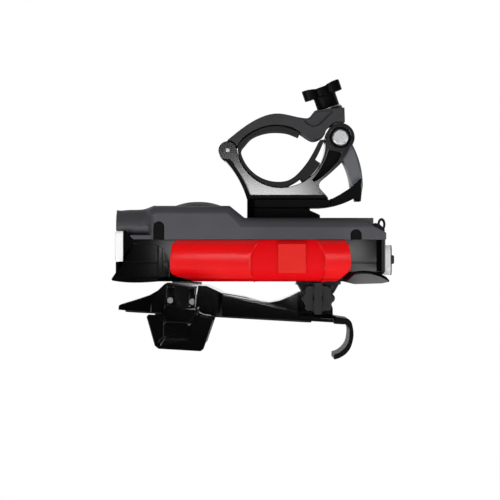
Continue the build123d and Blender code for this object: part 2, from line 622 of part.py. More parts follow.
# Lower shell: open tub, a narrower nose behind a round arch, a chin in front and a skirt behind
arch_x = -52.5
arch_z = -49.4
arch_r = 8.1
arch_top_z = arch_z + arch_r
tub_cut = 4.0
cavity_half = tub_half - 2.2
cavity_front_x = lens_back_x
nose_in = nose_half - 2.1
shelf_z = -48.2
bulkhead_x = -49.3
bulkhead_t = 2.2
seal_w = 0.8
seal_half = tub_half - 1.1
seal_x0 = -48.7
seal_x1 = rear_x - 0.6
board_z = -44.6
board_posts = [(x, y) for x in (-44.3, -33.0) for y in (-17.0, 17.0)]
bracket_screw_d = 2.5
bracket_screw_end = -53.75
bracket_screws_at = [(x, y) for x in (9.6, 22.6) for y in (-4.5, 4.5)]
button_z = -47.95
skirt_half = tub_half + 1.4
line_z = -49.1          # fine groove round the tub, level with the foot of the lens
line_h = 0.5
line_depth = 0.3
with BuildPart() as lower_shell:
    with BuildSketch(Plane.XZ):
        Polygon(
            (lens_back_x, lens_top_z), (cheek_top_x, lens_top_z), (cheek_low_x, parting_z), (rear_x, parting_z),
            (rear_x, floor_z), (front_x + 1, floor_z), (front_x, floor_z + 1.0), (front_x, lens_low_z),
            (lens_back_x, lens_low_z),
        )
    extrude(amount=tub_half, both=True)
    rear_edges = lower_shell.edges().filter_by(
        lambda e: abs(e.center().X - rear_x) < 0.01 and abs(e.tangent_at(0.5).Z) > 0.9
    )
    fillet(rear_edges, 4.0)
    low_edges = lower_shell.edges().filter_by(
        lambda e: abs(abs(e.center().Y) - tub_half) < 0.01 and abs(e.center().Z - floor_z) < 0.01
    )
    chamfer(low_edges, tub_cut)
    for side in (1, -1):
        with BuildSketch(Plane.XZ.offset(side * (tub_half + 1))):
            with Locations((arch_x, arch_z)):
                Circle(arch_r)
            Polygon((front_x - 2, arch_top_z), (arch_x, arch_top_z), (arch_x, arch_z),
                    (arch_x + arch_r, arch_z), (arch_x + arch_r, floor_z - 2), (front_x - 2, floor_z - 2))
            Polygon((front_x - 2, arch_top_z - 1), (front_x - 2, lens_top_z + 2),
                    (cheek_top_x + 0.6, lens_top_z + 2), (cheek_low_x + 0.6, parting_z + 0.1),
                    (cheek_low_x + 0.6, arch_top_z - 1))
        extrude(amount=-side * (tub_half + 1 - nose_half), mode=Mode.SUBTRACT)
    with BuildSketch(Plane.XZ):
        with BuildLine():
            chin = Polyline((front_x + 0.5, -53.0), (front_x, -53.2), (-67.6, -55.3))
            chin_round = ThreePointArc(chin @ 1, (-67.8, -56.0), (-67.0, -56.5))
            belly = Spline(chin_round @ 1, (-62.5, -57.1), (-55.0, -57.2), (-49.0, floor_z))
            Polyline(belly @ 1, (-49.0, floor_z + 1.6), (front_x + 0.5, floor_z + 1.6), chin @ 0)
        make_face()
    extrude(amount=nose_half + 0.6, both=True)
    with BuildSketch(Plane.XZ):
        with BuildLine():
            skirt = ThreePointArc((29.9, -53.0), (37.5, -52.7), (rear_x, -54.8))
            Polyline(
                skirt @ 1, (rear_x + 1.3, -56.3), (rear_x + 1.1, -56.9), (rear_x - 2, -57.5),
                (30.5, -57.8), (26.2, floor_z), (27.6, -55.0), skirt @ 0,
            )
        make_face()
    extrude(amount=skirt_half, both=True)
    skirt_edges = lower_shell.edges().filter_by(
        lambda e: abs(abs(e.center().Y) - skirt_half) < 0.01 and e.center().Z > -54.2
    )
    chamfer(skirt_edges, 1.0)
    with BuildSketch(Plane.YZ.offset(cavity_front_x)):
        Polygon(
            (-cavity_half, lens_top_z + 1), (-cavity_half, floor_z + tub_cut + 0.6),
            (-tub_half + tub_cut + 0.8, inner_floor_z), (tub_half - tub_cut - 0.8, inner_floor_z),
            (cavity_half, floor_z + tub_cut + 0.6), (cavity_half, lens_top_z + 1),
        )
    extrude(amount=rear_x - wall - cavity_front_x, mode=Mode.SUBTRACT)
    for side in (1, -1):
        block(cavity_front_x, arch_x + arch_r + 0.4, side * nose_in, side * nose_half,
              inner_floor_z, arch_top_z + 0.2)
        with BuildSketch(Plane.XZ.offset(side * nose_half)):
            Polygon((lens_back_x, arch_top_z), (lens_back_x, lens_top_z), (cheek_top_x, lens_top_z),
                    (cheek_low_x, parting_z), (cheek_low_x + 1.0, arch_top_z))
        extrude(amount=-side * (nose_half - nose_in))
    block(cavity_front_x, bulkhead_x + bulkhead_t, -nose_in, nose_in, shelf_z - 1.6, shelf_z)
    block(bulkhead_x, bulkhead_x + bulkhead_t, -cavity_half - 0.5, cavity_half + 0.5,
          inner_floor_z - 0.5, parting_z)
    block(bulkhead_x - 1, bulkhead_x + bulkhead_t + 1, -4, 4, shelf_z + 2, parting_z - 2.5,
          mode=Mode.SUBTRACT)
    block(front_x - 1, cavity_front_x + 0.5, -nose_in, nose_in, shelf_z, lens_top_z + 1, mode=Mode.SUBTRACT)
    with BuildSketch(Plane.XY.offset(parting_z - seal_w)):
        with Locations(((seal_x0 + seal_x1) / 2, 0)):
            RectangleRounded(seal_x1 - seal_x0, 2 * seal_half, 3.4)
            RectangleRounded(seal_x1 - seal_x0 - 2 * seal_w, 2 * seal_half - 2 * seal_w, 3.4 - seal_w,
                             mode=Mode.SUBTRACT)
    extrude(amount=seal_w + 1, mode=Mode.SUBTRACT)
    for x, top in tabs:
        for side in (1, -1):
            with BuildSketch(Plane.XZ.offset(side * tab_out)):
                with Locations((x, (parting_z + top - tab_w / 2) / 2)):
                    Rectangle(tab_w - 0.4, top - tab_w / 2 - parting_z)
                with Locations((x, top - tab_w / 2)):
                    Circle(tab_w / 2 - 0.2)
            extrude(amount=-side * (tab_out - tab_in))
    for x, y in board_posts:
        post(x, y, 2.2, inner_floor_z - 0.5, board_z)
        post(x, y, 1.0, board_z - 5, board_z, mode=Mode.SUBTRACT)
    for x, y in bracket_screws_at:
        post(x, y, bracket_screw_d / 2 + 1.2, inner_floor_z - 0.5, bracket_screw_end)
        post(x, y, bracket_screw_d / 2, floor_z - 1, bracket_screw_end, mode=Mode.SUBTRACT)
    rod(0, button_z, 1.5, rear_x - wall - 1, rear_x + 1, mode=Mode.SUBTRACT)
    for side in (1, -1):
        block(front_x + 1.5, arch_x + arch_r - 1.0, side * (nose_half - line_depth), side * (nose_half + 0.2),
              line_z - line_h / 2, line_z + line_h / 2, mode=Mode.SUBTRACT)
        block(28.0, rear_x - 4.0, side * (tub_half - line_depth), side * (tub_half + 1),
              line_z - line_h / 2, line_z + line_h / 2, mode=Mode.SUBTRACT)

with BuildPart() as case_seal:
    with BuildSketch(Plane.XY.offset(parting_z - seal_w)):
        with Locations(((seal_x0 + seal_x1) / 2, 0)):
            RectangleRounded(seal_x1 - seal_x0 - 0.1, 2 * seal_half - 0.1, 3.35)
            RectangleRounded(seal_x1 - seal_x0 - 2 * seal_w + 0.1, 2 * seal_half - 2 * seal_w + 0.1,
                             3.45 - seal_w, mode=Mode.SUBTRACT)
    extrude(amount=seal_w - 0.05)

# Red side panels with a dish and a raised pad in it
panel_front = [
    (-41.0, -54.8), (-43.5, -53.6), (-44.1, -51.1), (-43.5, -42.8), (-42.9, -41.2), (-41.6, -40.2),
]
panel_rear = [
    (28.0, -41.2), (28.9, -45.5), (29.1, -49.9), (28.7, -52.3), (26.1, -54.7), (23.2, -56.85),
]
panel_seat = 0.05
panel_top_z = parting_z - 0.1
dish_x = 3.6
dish_z = -50.05
dish_r = 15.3
pad_x = -0.4
pad_w = 11.3
pad_low_z = -53.4
pad_top_z = -40.4
pad_face = panel_half - 0.9


def dish_floor(side):
    """The part of a panel inside the round dish"""
    with BuildPart() as floor:
        with BuildSketch(Plane.YZ.offset(dish_x - dish_r - 1)):
            with BuildLine():
                low = Spline(
                    (-side * (upper_half - 0.25), panel_top_z), (-side * (panel_half - 1.75), -44.2),
                    (-side * (panel_half - 1.6), -47.2), (-side * (panel_half - 2.1), -52.2),
                    (-side * (panel_half - 4.3), -55.6), (-side * (panel_half - 7.2), floor_z),
                )
                Polyline(low @ 1, (-side * (tub_half - tub_cut + panel_seat), floor_z),
                         (-side * (tub_half + panel_seat), floor_z + tub_cut),
                         (-side * (tub_half + panel_seat), panel_top_z), low @ 0)
            make_face()
        extrude(amount=2 * dish_r + 2)
        with BuildSketch(Plane.XZ.offset(side * (tub_half - 7))):
            with Locations((dish_x, dish_z)):
                Circle(dish_r)
        extrude(amount=side * 14, mode=Mode.INTERSECT)
    return floor


def side_panel(side):
    """The panel on one side of the tub; side 1 is the viewer's side"""
    floor = dish_floor(side)
    with BuildPart() as panel:
        with BuildSketch(Plane.XZ.offset(side * (tub_half - 7))):
            Polygon(*panel_front, (-39.9, panel_top_z), (26.5, panel_top_z), *panel_rear, (-34.0, -56.85))
        extrude(amount=side * 14)
        with BuildSketch(Plane.YZ.offset(-60)):
            with BuildLine():
                ledge = Polyline(
                    (-side * (tub_half + panel_seat), panel_top_z),
                    (-side * (upper_half - 0.2), panel_top_z), (-side * (panel_half - 1.0), -41.3),
                )
                face = Spline(ledge @ 1, (-side * (panel_half - 0.2), -44.2), (-side * panel_half, -47.2),
                              (-side * (panel_half - 0.8), -52.2), (-side * (panel_half - 3.6), -55.8))
                Polyline(face @ 1, (-side * (panel_half - 6.8), floor_z),
                         (-side * (tub_half - tub_cut + panel_seat), floor_z),
                         (-side * (tub_half + panel_seat), floor_z + tub_cut), ledge @ 0)
            make_face()
        extrude(amount=120, mode=Mode.INTERSECT)
        with BuildSketch(Plane.XZ.offset(side * (tub_half - 7))):
            with Locations((dish_x, dish_z)):
                Circle(dish_r)
        extrude(amount=side * 14, mode=Mode.SUBTRACT)
        add(floor.part)
        with BuildSketch(Plane.YZ.offset(pad_x)):
            Polygon(
                (-side * (tub_half + 1), pad_low_z), (-side * pad_face, pad_low_z),
                (-side * pad_face, -41.6), (-side * (pad_face - 0.9), pad_top_z),
                (-side * (tub_half + 1), pad_top_z),
            )
        extrude(amount=pad_w)
    return panel


right_side_panel = side_panel(1)
left_side_panel = side_panel(-1)

# Lens, reflector, light board and heat sink
lens_front_x = -66.6
lens_half = nose_half + 0.7
beam_z = -42.5
beams_at = [-13.0, 0.0, 13.0]
cup_r = 4.8
cup_back_r = 2.4
reflector_back_x = -53.6
with BuildPart() as front_lens:
    block(lens_front_x, lens_back_x, -lens_half, lens_half, lens_low_z, lens_top_z)
    lens_corners = front_lens.edges().filter_by(
        lambda e: abs(e.center().X - lens_front_x) < 0.01 or abs(e.tangent_at(0.5).X) > 0.9
    )
    fillet(lens_corners, 1.2)
    block(lens_front_x + lens_t, lens_back_x, -lens_half + lens_t, lens_half - lens_t,
          lens_low_z + lens_t, lens_top_z - lens_t, mode=Mode.SUBTRACT)

with BuildPart() as reflector:
    block(lens_back_x + 0.1, -61.7, -nose_in + 0.5, nose_in - 0.5, shelf_z + 0.1, lens_top_z - 0.5)
    block(-61.7, reflector_back_x, -nose_in + 1.0, nose_in - 1.0, shelf_z + 0.1, parting_z - 0.2)
    block(-61.7, reflector_back_x, -hood_half + 4.3, hood_half - 4.3, parting_z - 0.2, lens_top_z - 1.0)
    for y in beams_at:
        cup_l = reflector_back_x - 0.8 - lens_back_x
        with Locations((lens_back_x + cup_l / 2, y, beam_z)):
            Cone(cup_r, cup_back_r, cup_l, rotation=(0, 90, 0), mode=Mode.SUBTRACT)
        rod(y, beam_z, cup_back_r, reflector_back_x - 1, reflector_back_x + 1, mode=Mode.SUBTRACT)

with BuildPart() as led_board:
    block(reflector_back_x, reflector_back_x + 1.4, -20.0, 20.0, shelf_z + 0.1, parting_z - 0.4)

with BuildPart() as led_chips:
    for y in beams_at:
        block(reflector_back_x - 1.0, reflector_back_x, y - 1.4, y + 1.4, beam_z - 1.4, beam_z + 1.4)

fin_pitch = 4.0
with BuildPart() as heat_sink:
    sink_x = reflector_back_x + 1.4
    block(sink_x, sink_x + 1.0, -19.0, 19.0, shelf_z + 0.1, parting_z - 0.6)
    for step in range(-4, 5):
        fin_y = fin_pitch * step
        block(sink_x, bulkhead_x - 0.1, fin_y - 0.6, fin_y + 0.6, shelf_z + 0.1, parting_z - 0.6)

# Battery cells on their cradle, and the boards
cell_r = cell_d / 2
cell_y = 9.4
cell_z = -44.8
cell_back_x = cell_front_x + cell_l
with BuildPart() as battery_cells:
    for side in (1, -1):
        rod(side * cell_y, cell_z, cell_r, cell_front_x, cell_back_x)
        rod(side * cell_y, cell_z, 3.0, cell_back_x, cell_back_x + 0.6)

cradle_x = cell_front_x - 1.2
with BuildPart() as battery_cradle:
    block(cradle_x, cell_back_x, -19.5, 19.5, inner_floor_z, inner_floor_z + 0.8)
    for x in (cradle_x + 5, (cradle_x + cell_back_x) / 2 - 6, cell_back_x - 6):
        block(x, x + 3, -19.5, 19.5, inner_floor_z, cell_z - 3)
    block(cradle_x, cell_front_x - 0.1, -19.5, 19.5, inner_floor_z, cell_z - 3)
    for side in (1, -1):
        rod(side * cell_y, cell_z, cell_r + 0.1, cell_front_x - 0.1, cell_back_x + 1, mode=Mode.SUBTRACT)
    for x, y in bracket_screws_at:
        post(x, y, bracket_screw_d / 2 + 1.5, inner_floor_z, bracket_screw_end + 0.3, mode=Mode.SUBTRACT)

with BuildPart() as main_board:
    block(-46.6, cradle_x - 0.3, -20.0, 20.0, board_z, board_z + 1.2)
    for x, y in board_posts:
        post(x, y, 1.0, board_z, board_z + 1.2, mode=Mode.SUBTRACT)
    block(-42.0, -36.0, -6.0, 0.0, board_z + 1.2, board_z + 2.4)
    block(-43.0, -40.0, 5.0, 12.0, board_z + 1.2, board_z + 3.0)

with BuildPart() as board_screws:
    for x, y in board_posts:
        post(x, y, 0.95, board_z - 3.5, board_z + 1.2)
        post(x, y, 1.7, board_z + 1.2, board_z + 2.1)

rear_board_x = 37.4
rear_board_t = 1.2
with BuildPart() as rear_board:
    block(rear_board_x, rear_board_x + rear_board_t, -20.0, 20.0, inner_floor_z + 0.1, parting_z - 1.5)

port_back_x = rear_board_x + rear_board_t
with BuildPart() as charge_port:
    block(port_back_x, port_back_x + port_t - 0.1, port_y - port_w / 2 + 0.1, port_y + port_w / 2 - 0.1,
          -45.2, -38.4)
    block(port_back_x + 0.4, port_back_x + port_t - 0.5,
          port_y - port_w / 2 + 0.5, port_y + port_w / 2 - 0.5, -44.4, -38, mode=Mode.SUBTRACT)

# Button behind: panel, button and switch
panel_back_x = 46.1
face_plate_t = 0.4
rear_panel_half = 14.0
rear_panel_low_z = -54.3
rear_panel_top_z = -41.9
button_half_y = 4.0
button_half_z = 1.85
button_out_x = 48.2
flange_x = 44.3
switch_tip_x = 41.4
with BuildPart() as rear_panel:
    block(rear_x, panel_back_x, -rear_panel_half, rear_panel_half, rear_panel_low_z, rear_panel_top_z)
    fillet(rear_panel.edges().filter_by(Axis.X), 3.0)
    block(rear_x, panel_back_x + 1, -button_half_y - side_gap, button_half_y + side_gap,
          button_z - button_half_z - side_gap, button_z + button_half_z + side_gap, mode=Mode.SUBTRACT)
    block(rear_x, flange_x + 1.1, -button_half_y - 1.3, button_half_y + 1.3,
          button_z - button_half_z - 1.3, button_z + button_half_z + 1.3, mode=Mode.SUBTRACT)

with BuildPart() as face_plate:
    block(panel_back_x, panel_back_x + face_plate_t, -rear_panel_half, rear_panel_half,
          rear_panel_low_z, rear_panel_top_z)
    fillet(face_plate.edges().filter_by(Axis.X), 3.0)
    block(panel_back_x, panel_back_x + 1, -button_half_y - side_gap, button_half_y + side_gap,
          button_z - button_half_z - side_gap, button_z + button_half_z + side_gap, mode=Mode.SUBTRACT)

with BuildPart() as rear_button:
    block(flange_x, button_out_x, -button_half_y, button_half_y,
          button_z - button_half_z, button_z + button_half_z)
    fillet(rear_button.edges().filter_by(Axis.X), 1.2)
    chamfer(rear_button.faces().sort_by(Axis.X)[-1].edges(), 0.4)
    block(flange_x, flange_x + 1.0, -button_half_y - 1.0, button_half_y + 1.0,
          button_z - button_half_z - 1.0, button_z + button_half_z + 1.0)
    rod(0, button_z, 1.2, switch_tip_x + 0.3, flange_x)

with BuildPart() as button_switch:
    block(port_back_x, switch_tip_x - 1.2, -3.0, 3.0, button_z - 3.0, button_z + 3.0)
    rod(0, button_z, 1.5, switch_tip_x - 1.2, switch_tip_x - 0.6)

# Rubber plug over the charging socket, with a pull loop; it turns at the step of the deck
plug_x = 39.6
plug_z = -33.7
plug_half = 3.6
loop_half = 1.3
plug_side = Plane.XZ.offset(-port_y)
with BuildPart() as usb_plug:
    with BuildSketch(plug_side):
        Polygon((39.6, -32.95), (41.2, -33.4), (42.9, -34.9), (43.4, -35.7), (43.3, -36.8), (39.1, -34.5))
        with Locations((plug_x, plug_z)):
            Circle(0.75)
    extrude(amount=plug_half, both=True)
    with BuildSketch(plug_side):
        with Locations((42.2, -33.5)):
            Ellipse(1.6, 2.6)
            Ellipse(0.75, 1.5, mode=Mode.SUBTRACT)
        Polygon((40.9, -34.2), (42.6, -35.0), (42.6, -36.1), (40.9, -35.2))
    extrude(amount=loop_half, both=True)
    block(39.1, 40.0, port_y - plug_half + 0.4, port_y + plug_half - 0.4, -36.3, -34.5)

# Bracket under the lamp that the phone holder turns on
ear_in = knuckle_half + side_gap
with BuildPart() as pivot_bracket:
    block(7.2, 25.6, -bracket_half, bracket_half, -58.2, floor_z)
    for side in (1, -1):
        with BuildSketch(Plane.XZ.offset(side * bracket_half)):
            Polygon((7.2, floor_z), (25.6, floor_z), (23.1, -61.2), (21.2, pivot_z),
                    (10.9, pivot_z), (9.6, -61.2))
            with Locations((pivot_x, pivot_z)):
                Circle(5.5)
        extrude(amount=-side * bracket_ear_t)
    bar(pivot_x, pivot_z, tilt_bolt_d / 2 + pin_fit, -20, 20, mode=Mode.SUBTRACT)
    for x, y in bracket_screws_at:
        post(x, y, bracket_screw_d / 2, -59, floor_z + 1, mode=Mode.SUBTRACT)
        post(x, y, bracket_screw_d / 2 + 1.1, -58.2, -57.5, mode=Mode.SUBTRACT)

with BuildPart() as bracket_screws:
    for x, y in bracket_screws_at:
        post(x, y, bracket_screw_d / 2, -58.1, bracket_screw_end - 0.2)
        post(x, y, bracket_screw_d / 2 + 1.0, -58.1, -57.5)

# Tilt bolt, its nut and its knob with a bar across the face
tilt_knob_y = bracket_half + side_gap
with BuildPart() as tilt_bolt:
    bar(pivot_x, pivot_z, tilt_bolt_d / 2, -tilt_knob_y - 3.7, bracket_half + 3.0)

nut_h = 3.2
nut_slack = 0.1
with BuildPart() as tilt_nut:
    with BuildSketch(Plane.XZ.offset(-bracket_half)):
        with Locations((pivot_x, pivot_z)):
            RegularPolygon(3.5, 6, major_radius=False)
            Circle(tilt_bolt_d / 2 + nut_slack, mode=Mode.SUBTRACT)
    extrude(amount=-nut_h)

with BuildPart() as tilt_knob:
    with BuildSketch(Plane.XZ.offset(tilt_knob_y)):
        with Locations((pivot_x, pivot_z)):
            Circle(tilt_knob_r - 0.9)
            with PolarLocations(tilt_knob_r - tilt_lobe_r, 8):
                Circle(tilt_lobe_r)
    extrude(amount=3.7)
    chamfer(tilt_knob.faces().sort_by(Axis.Y)[0].outer_wire().edges(), 0.4)
    block(pivot_x - 1.6, pivot_x + 1.6, -tilt_knob_y - tilt_knob_t, -tilt_knob_y - 3.7,
          pivot_z - tilt_knob_r + 0.4, pivot_z + tilt_knob_r - 0.4)
    bar(pivot_x, pivot_z, tilt_bolt_d / 2, -tilt_knob_y - 3.7, -tilt_knob_y, mode=Mode.SUBTRACT)

# Phone holder base: a low plate with a hump for the side jaws and a knuckle behind
rail_room = 0.2
rod_gap = 0.05
tunnel_half = 7.0
tunnel_top = -6.1
cover_low = -9.35
cover_top = -8.5
channel_low = -8.7
channel_top = -6.9
hook_root_u = -20.0
tongue_w = 11.0
plate_front = -81.3
plate_back = knuckle_r + 2.0
plate_top = -7.4
rib_half = tongue_w + 1.5
with BuildPart(holder_top) as holder_base:
    with BuildSketch(holder_side):
        Polygon(
            (plate_front, -7.7), (plate_front + 0.9, -7.05), (-74.4, -4.85), (-68.5, -2.45), (-65.3, -0.36),
            (-62.5, 2.6), (-45.6, 2.6), (-41.7, 1.1), (-38.9, -0.14), (-29.8, -1.17), (-22.8, -2.7),
            (-19.6, -2.9), (-15.5, -1.9), (-11.5, 0.04), (-8.0, 2.04), (-8.0, plate_top),
            (plate_back, plate_top), (plate_back, plate_low), (plate_front, plate_low),
        )
    extrude(amount=hump_half, both=True)
    for side in (1, -1):
        with BuildSketch(holder_top.offset(plate_low - 1)):
            Polygon((-42.5, side * (hump_half + 5)), (-39.0, side * base_half),
                    (plate_back + 1, side * base_half), (plate_back + 1, side * (hump_half + 5)))
            Polygon((plate_front - 1, side * (hump_half + 5)), (plate_front - 1, side * hook_half),
                    (plate_front + 5.3, side * base_half), (-67.5, side * hump_half),
                    (-67.5, side * (hump_half + 5)))
        extrude(amount=20, mode=Mode.SUBTRACT)
        with BuildSketch(holder_side.offset(side * rib_half)):
            Polygon((-38.9, 4.0), (-38.9, -0.9), (1.0, plate_top - 0.3), (plate_back + 1, plate_top - 0.3),
                    (plate_back + 1, 4.0))
        extrude(amount=side * hump_half, mode=Mode.SUBTRACT)
        with BuildSketch(holder_side.offset(side * ear_in)):
            with Locations((0, 0)):
                Circle(6.3)
        extrude(amount=side * 20, mode=Mode.SUBTRACT)
    with BuildSketch(holder_side):
        Circle(knuckle_r)
        Polygon((-8.0, 2.04), (-4.0, 3.0), (0, 0), (knuckle_r, 0), (6.6, -3.8), (6.8, -6.7),
                (7.0, plate_low), (-8.0, plate_low))
    extrude(amount=knuckle_half, both=True)
    bar(0, 0, tilt_bolt_d / 2 + 0.1, -30, 30, mode=Mode.SUBTRACT)
    block(jaw_u - tunnel_half, jaw_u + tunnel_half, -30, 30, plate_low - 1, tunnel_top, mode=Mode.SUBTRACT)
    for u in (jaw_u - rod_pitch / 2, jaw_u + rod_pitch / 2):
        bar(u, rod_v, rod_d / 2 + rod_gap, -30, 30, mode=Mode.SUBTRACT)
    block(hook_root_u - seat_gap, 20, -tongue_w - rail_room, tongue_w + rail_room, channel_low, channel_top,
          mode=Mode.SUBTRACT)
    post(jaw_u, 0, 1.0, tunnel_top - 1, tunnel_top + 2.0, mode=Mode.SUBTRACT)

with BuildPart(holder_top) as base_cover:
    block(jaw_u - tunnel_half, jaw_u + tunnel_half, -base_half, base_half, cover_low, cover_top)

with BuildPart(holder_top) as phone_pad:
    block(-78.6, -2.0, -hook_half - 2, hook_half + 2, plate_low - pad_t, plate_low)
    pad_corners = phone_pad.edges().filter_by(lambda e: abs(e.tangent_at(0.5).dot(holder_top.z_dir)) > 0.99)
    fillet(pad_corners, 4.0)

with BuildPart(holder_top) as pinion_pin:
    post(jaw_u, 0, 0.95, cover_top, tunnel_top + 1.9)

# Pinion that keeps the two side jaws in step
gear_low = cover_top + 0.15
gear_top = tunnel_top - 0.15
gear_outer_r = gear_r + 0.8 * gear_module
gear_root_r = gear_r - 1.25 * gear_module
with BuildPart(holder_top) as jaw_pinion:
    with BuildSketch(holder_top.offset(gear_low)):
        with Locations((jaw_u, 0)):
            Circle(gear_root_r)
            with PolarLocations(0, gear_teeth):
                Polygon((gear_root_r - 0.4, -0.5), (gear_r, -0.4), (gear_outer_r, -0.2),
                        (gear_outer_r, 0.2), (gear_r, 0.4), (gear_root_r - 0.4, 0.5))
            Circle(1.0, mode=Mode.SUBTRACT)
    extrude(amount=gear_top - gear_low)

# Side jaws: a bracket beside the hump, a finger beside the phone, two rods and a rack
tooth_pitch = math.pi * gear_module
rod_in = 5.0
bracket_out = jaw_out - 0.5
bracket_in = bracket_out - 7.0
rod_out = bracket_out - 0.5
pad_in_t = 0.8
jaw_half_u = 6.4
mark_u = -56.5
mark_v = -15.7
finger = [(-61.4, -6.0), (-61.7, -7.4), (-62.5, -8.9), (-63.9, -9.9), (-68.0, -10.0), (-68.7, -10.9),
          (-64.8, -22.2), (-63.2, -23.4), (-46.3, -23.4), (-45.1, -22.4), (-41.9, -11.0), (-43.0, -10.0),
          (-46.8, -9.6), (-48.5, -8.6), (-49.0, -7.2), (-49.0, -6.0)]
finger_pad = [(-64.6, -12.0), (-62.3, -21.6), (-47.8, -21.6), (-45.8, -12.0)]
rod_slots = [(-61.0, -58.5), (-52.4, -49.9)]


def phone_jaw(side):
    """Bracket, finger and rack of one side jaw; side 1 is the viewer's side"""
    with BuildPart(holder_top) as jaw:
        block(jaw_u - jaw_half_u, jaw_u + jaw_half_u, -side * bracket_in, -side * bracket_out, -7.0, 3.2)
        with BuildSketch(holder_side.offset(side * jaw_in)):
            Polygon(*finger)
        extrude(amount=side * (jaw_out - jaw_in))
        block(jaw_u + side * 4.2, jaw_u + side * 6.6, -side * (jaw_in + 0.5), side * 15.2,
              cover_top + 0.2, cover_top + 0.2 + rack_h)
        for count in range(-4, 6):
            tooth_y = side * (count + 0.5) * tooth_pitch
            with BuildSketch(holder_top.offset(cover_top + 0.2)):
                Polygon(
                    (jaw_u + side * 4.3, tooth_y - 0.7), (jaw_u + side * gear_r, tooth_y - 0.5),
                    (jaw_u + side * 2.5, tooth_y - 0.3), (jaw_u + side * 2.5, tooth_y + 0.3),
                    (jaw_u + side * gear_r, tooth_y + 0.5), (jaw_u + side * 4.3, tooth_y + 0.7),
                )
            extrude(amount=rack_h)
        for u0, u1 in rod_slots:
            block(u0, u1, -side * (bracket_out - 2), -side * (bracket_out + 1), -5.9, 1.5,
                  mode=Mode.SUBTRACT)
        for u in (jaw_u - rod_pitch / 2, jaw_u + rod_pitch / 2):
            bar(u, rod_v, rod_d / 2, -side * (bracket_in - 9), -side * rod_out, mode=Mode.SUBTRACT)
        with BuildSketch(holder_side.offset(side * jaw_out)):
            with Locations((mark_u, mark_v)):
                RectangleRounded(10.2, 6.6, 1.2)
        extrude(amount=-side * 0.4, mode=Mode.SUBTRACT)
    return jaw


def jaw_rods(side):
    """The two steel rods of one side jaw"""
    with BuildPart(holder_top) as rods:
        for u in (jaw_u - rod_pitch / 2, jaw_u + rod_pitch / 2):
            bar(u, rod_v, rod_d / 2, -side * rod_in, -side * rod_out)
    return rods


def jaw_pad(side):
    """The rubber pad on the finger of one side jaw"""
    with BuildPart() as pad:
        with BuildSketch(holder_side.offset(side * (jaw_in - pad_in_t))):
            Polygon(*finger_pad)
        extrude(amount=side * pad_in_t)
    return pad


right_phone_jaw = phone_jaw(1)
left_phone_jaw = phone_jaw(-1)
right_jaw_rods = jaw_rods(1)
left_jaw_rods = jaw_rods(-1)
right_jaw_pad = jaw_pad(1)
left_jaw_pad = jaw_pad(-1)

# Bottom hook: a tongue in the plate and a curled lip for the phone's lower edge
with BuildPart(holder_top) as bottom_hook:
    block(hook_root_u, plate_back + 1, -tongue_w, tongue_w, channel_low + 0.1, channel_top - 0.1)
    with BuildSketch(holder_side):
        with BuildLine():
            lip = Spline(
                (12.4, -7.6), (13.7, -8.2), (14.5, -9.3), (15.0, -10.8), (15.4, -12.7), (15.5, -15.3),
                (15.1, -17.9), (14.1, -20.5), (12.3, -22.6), (10.2, -24.0), (8.1, -24.7),
            )
            curl = Polyline(lip @ 1, (8.0, -22.6))
            bowl = Spline(
                curl @ 1, (9.8, -21.9), (11.4, -20.7), (12.7, -19.1), (13.5, -17.3), (13.8, -15.2),
                (13.8, -12.8), (13.5, -11.4), (12.7, -10.4), (11.4, -10.1),
            )
            Polyline(bowl @ 1, (plate_back + 0.3, -10.1), (plate_back + 0.3, -7.2), lip @ 0)
        make_face()
    extrude(amount=hook_half, both=True)

# Files
pieces = {
    "lower_jaw": lower_jaw, "liner_band": liner_band, "hinge_pin": hinge_pin, "cross_pin": cross_pin,
    "upper_jaw": upper_jaw, "clamp_bolt": clamp_bolt, "knob_washer": knob_washer, "clamp_knob": clamp_knob,
    "lock_lever": lock_lever, "slide_shoe": slide_shoe, "shoe_screws": shoe_screws,
    "release_tongue": release_tongue, "lamp_rail": lamp_rail, "rail_screws": rail_screws,
    "upper_shell": upper_shell, "horn_speaker": horn_speaker, "horn_cap": horn_cap,
    "lower_shell": lower_shell, "case_seal": case_seal, "right_side_panel": right_side_panel,
    "left_side_panel": left_side_panel, "front_lens": front_lens, "reflector": reflector,
    "led_board": led_board, "led_chips": led_chips, "heat_sink": heat_sink,
    "battery_cells": battery_cells, "battery_cradle": battery_cradle, "main_board": main_board,
    "board_screws": board_screws, "rear_board": rear_board, "charge_port": charge_port,
    "rear_panel": rear_panel, "face_plate": face_plate, "rear_button": rear_button,
    "button_switch": button_switch, "usb_plug": usb_plug, "pivot_bracket": pivot_bracket,
    "bracket_screws": bracket_screws,
    "tilt_bolt": tilt_bolt, "tilt_nut": tilt_nut, "tilt_knob": tilt_knob, "holder_base": holder_base,
    "base_cover": base_cover, "phone_pad": phone_pad, "pinion_pin": pinion_pin, "jaw_pinion": jaw_pinion,
    "right_phone_jaw": right_phone_jaw, "left_phone_jaw": left_phone_jaw,
    "right_jaw_rods": right_jaw_rods, "left_jaw_rods": left_jaw_rods, "right_jaw_pad": right_jaw_pad,
    "left_jaw_pad": left_jaw_pad, "bottom_hook": bottom_hook,
}
os.makedirs("parts", exist_ok=True)
for name, piece in pieces.items():
    piece.part.label = name
    export_step(piece.part, f"parts/{name}.step")
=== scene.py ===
import json
import math

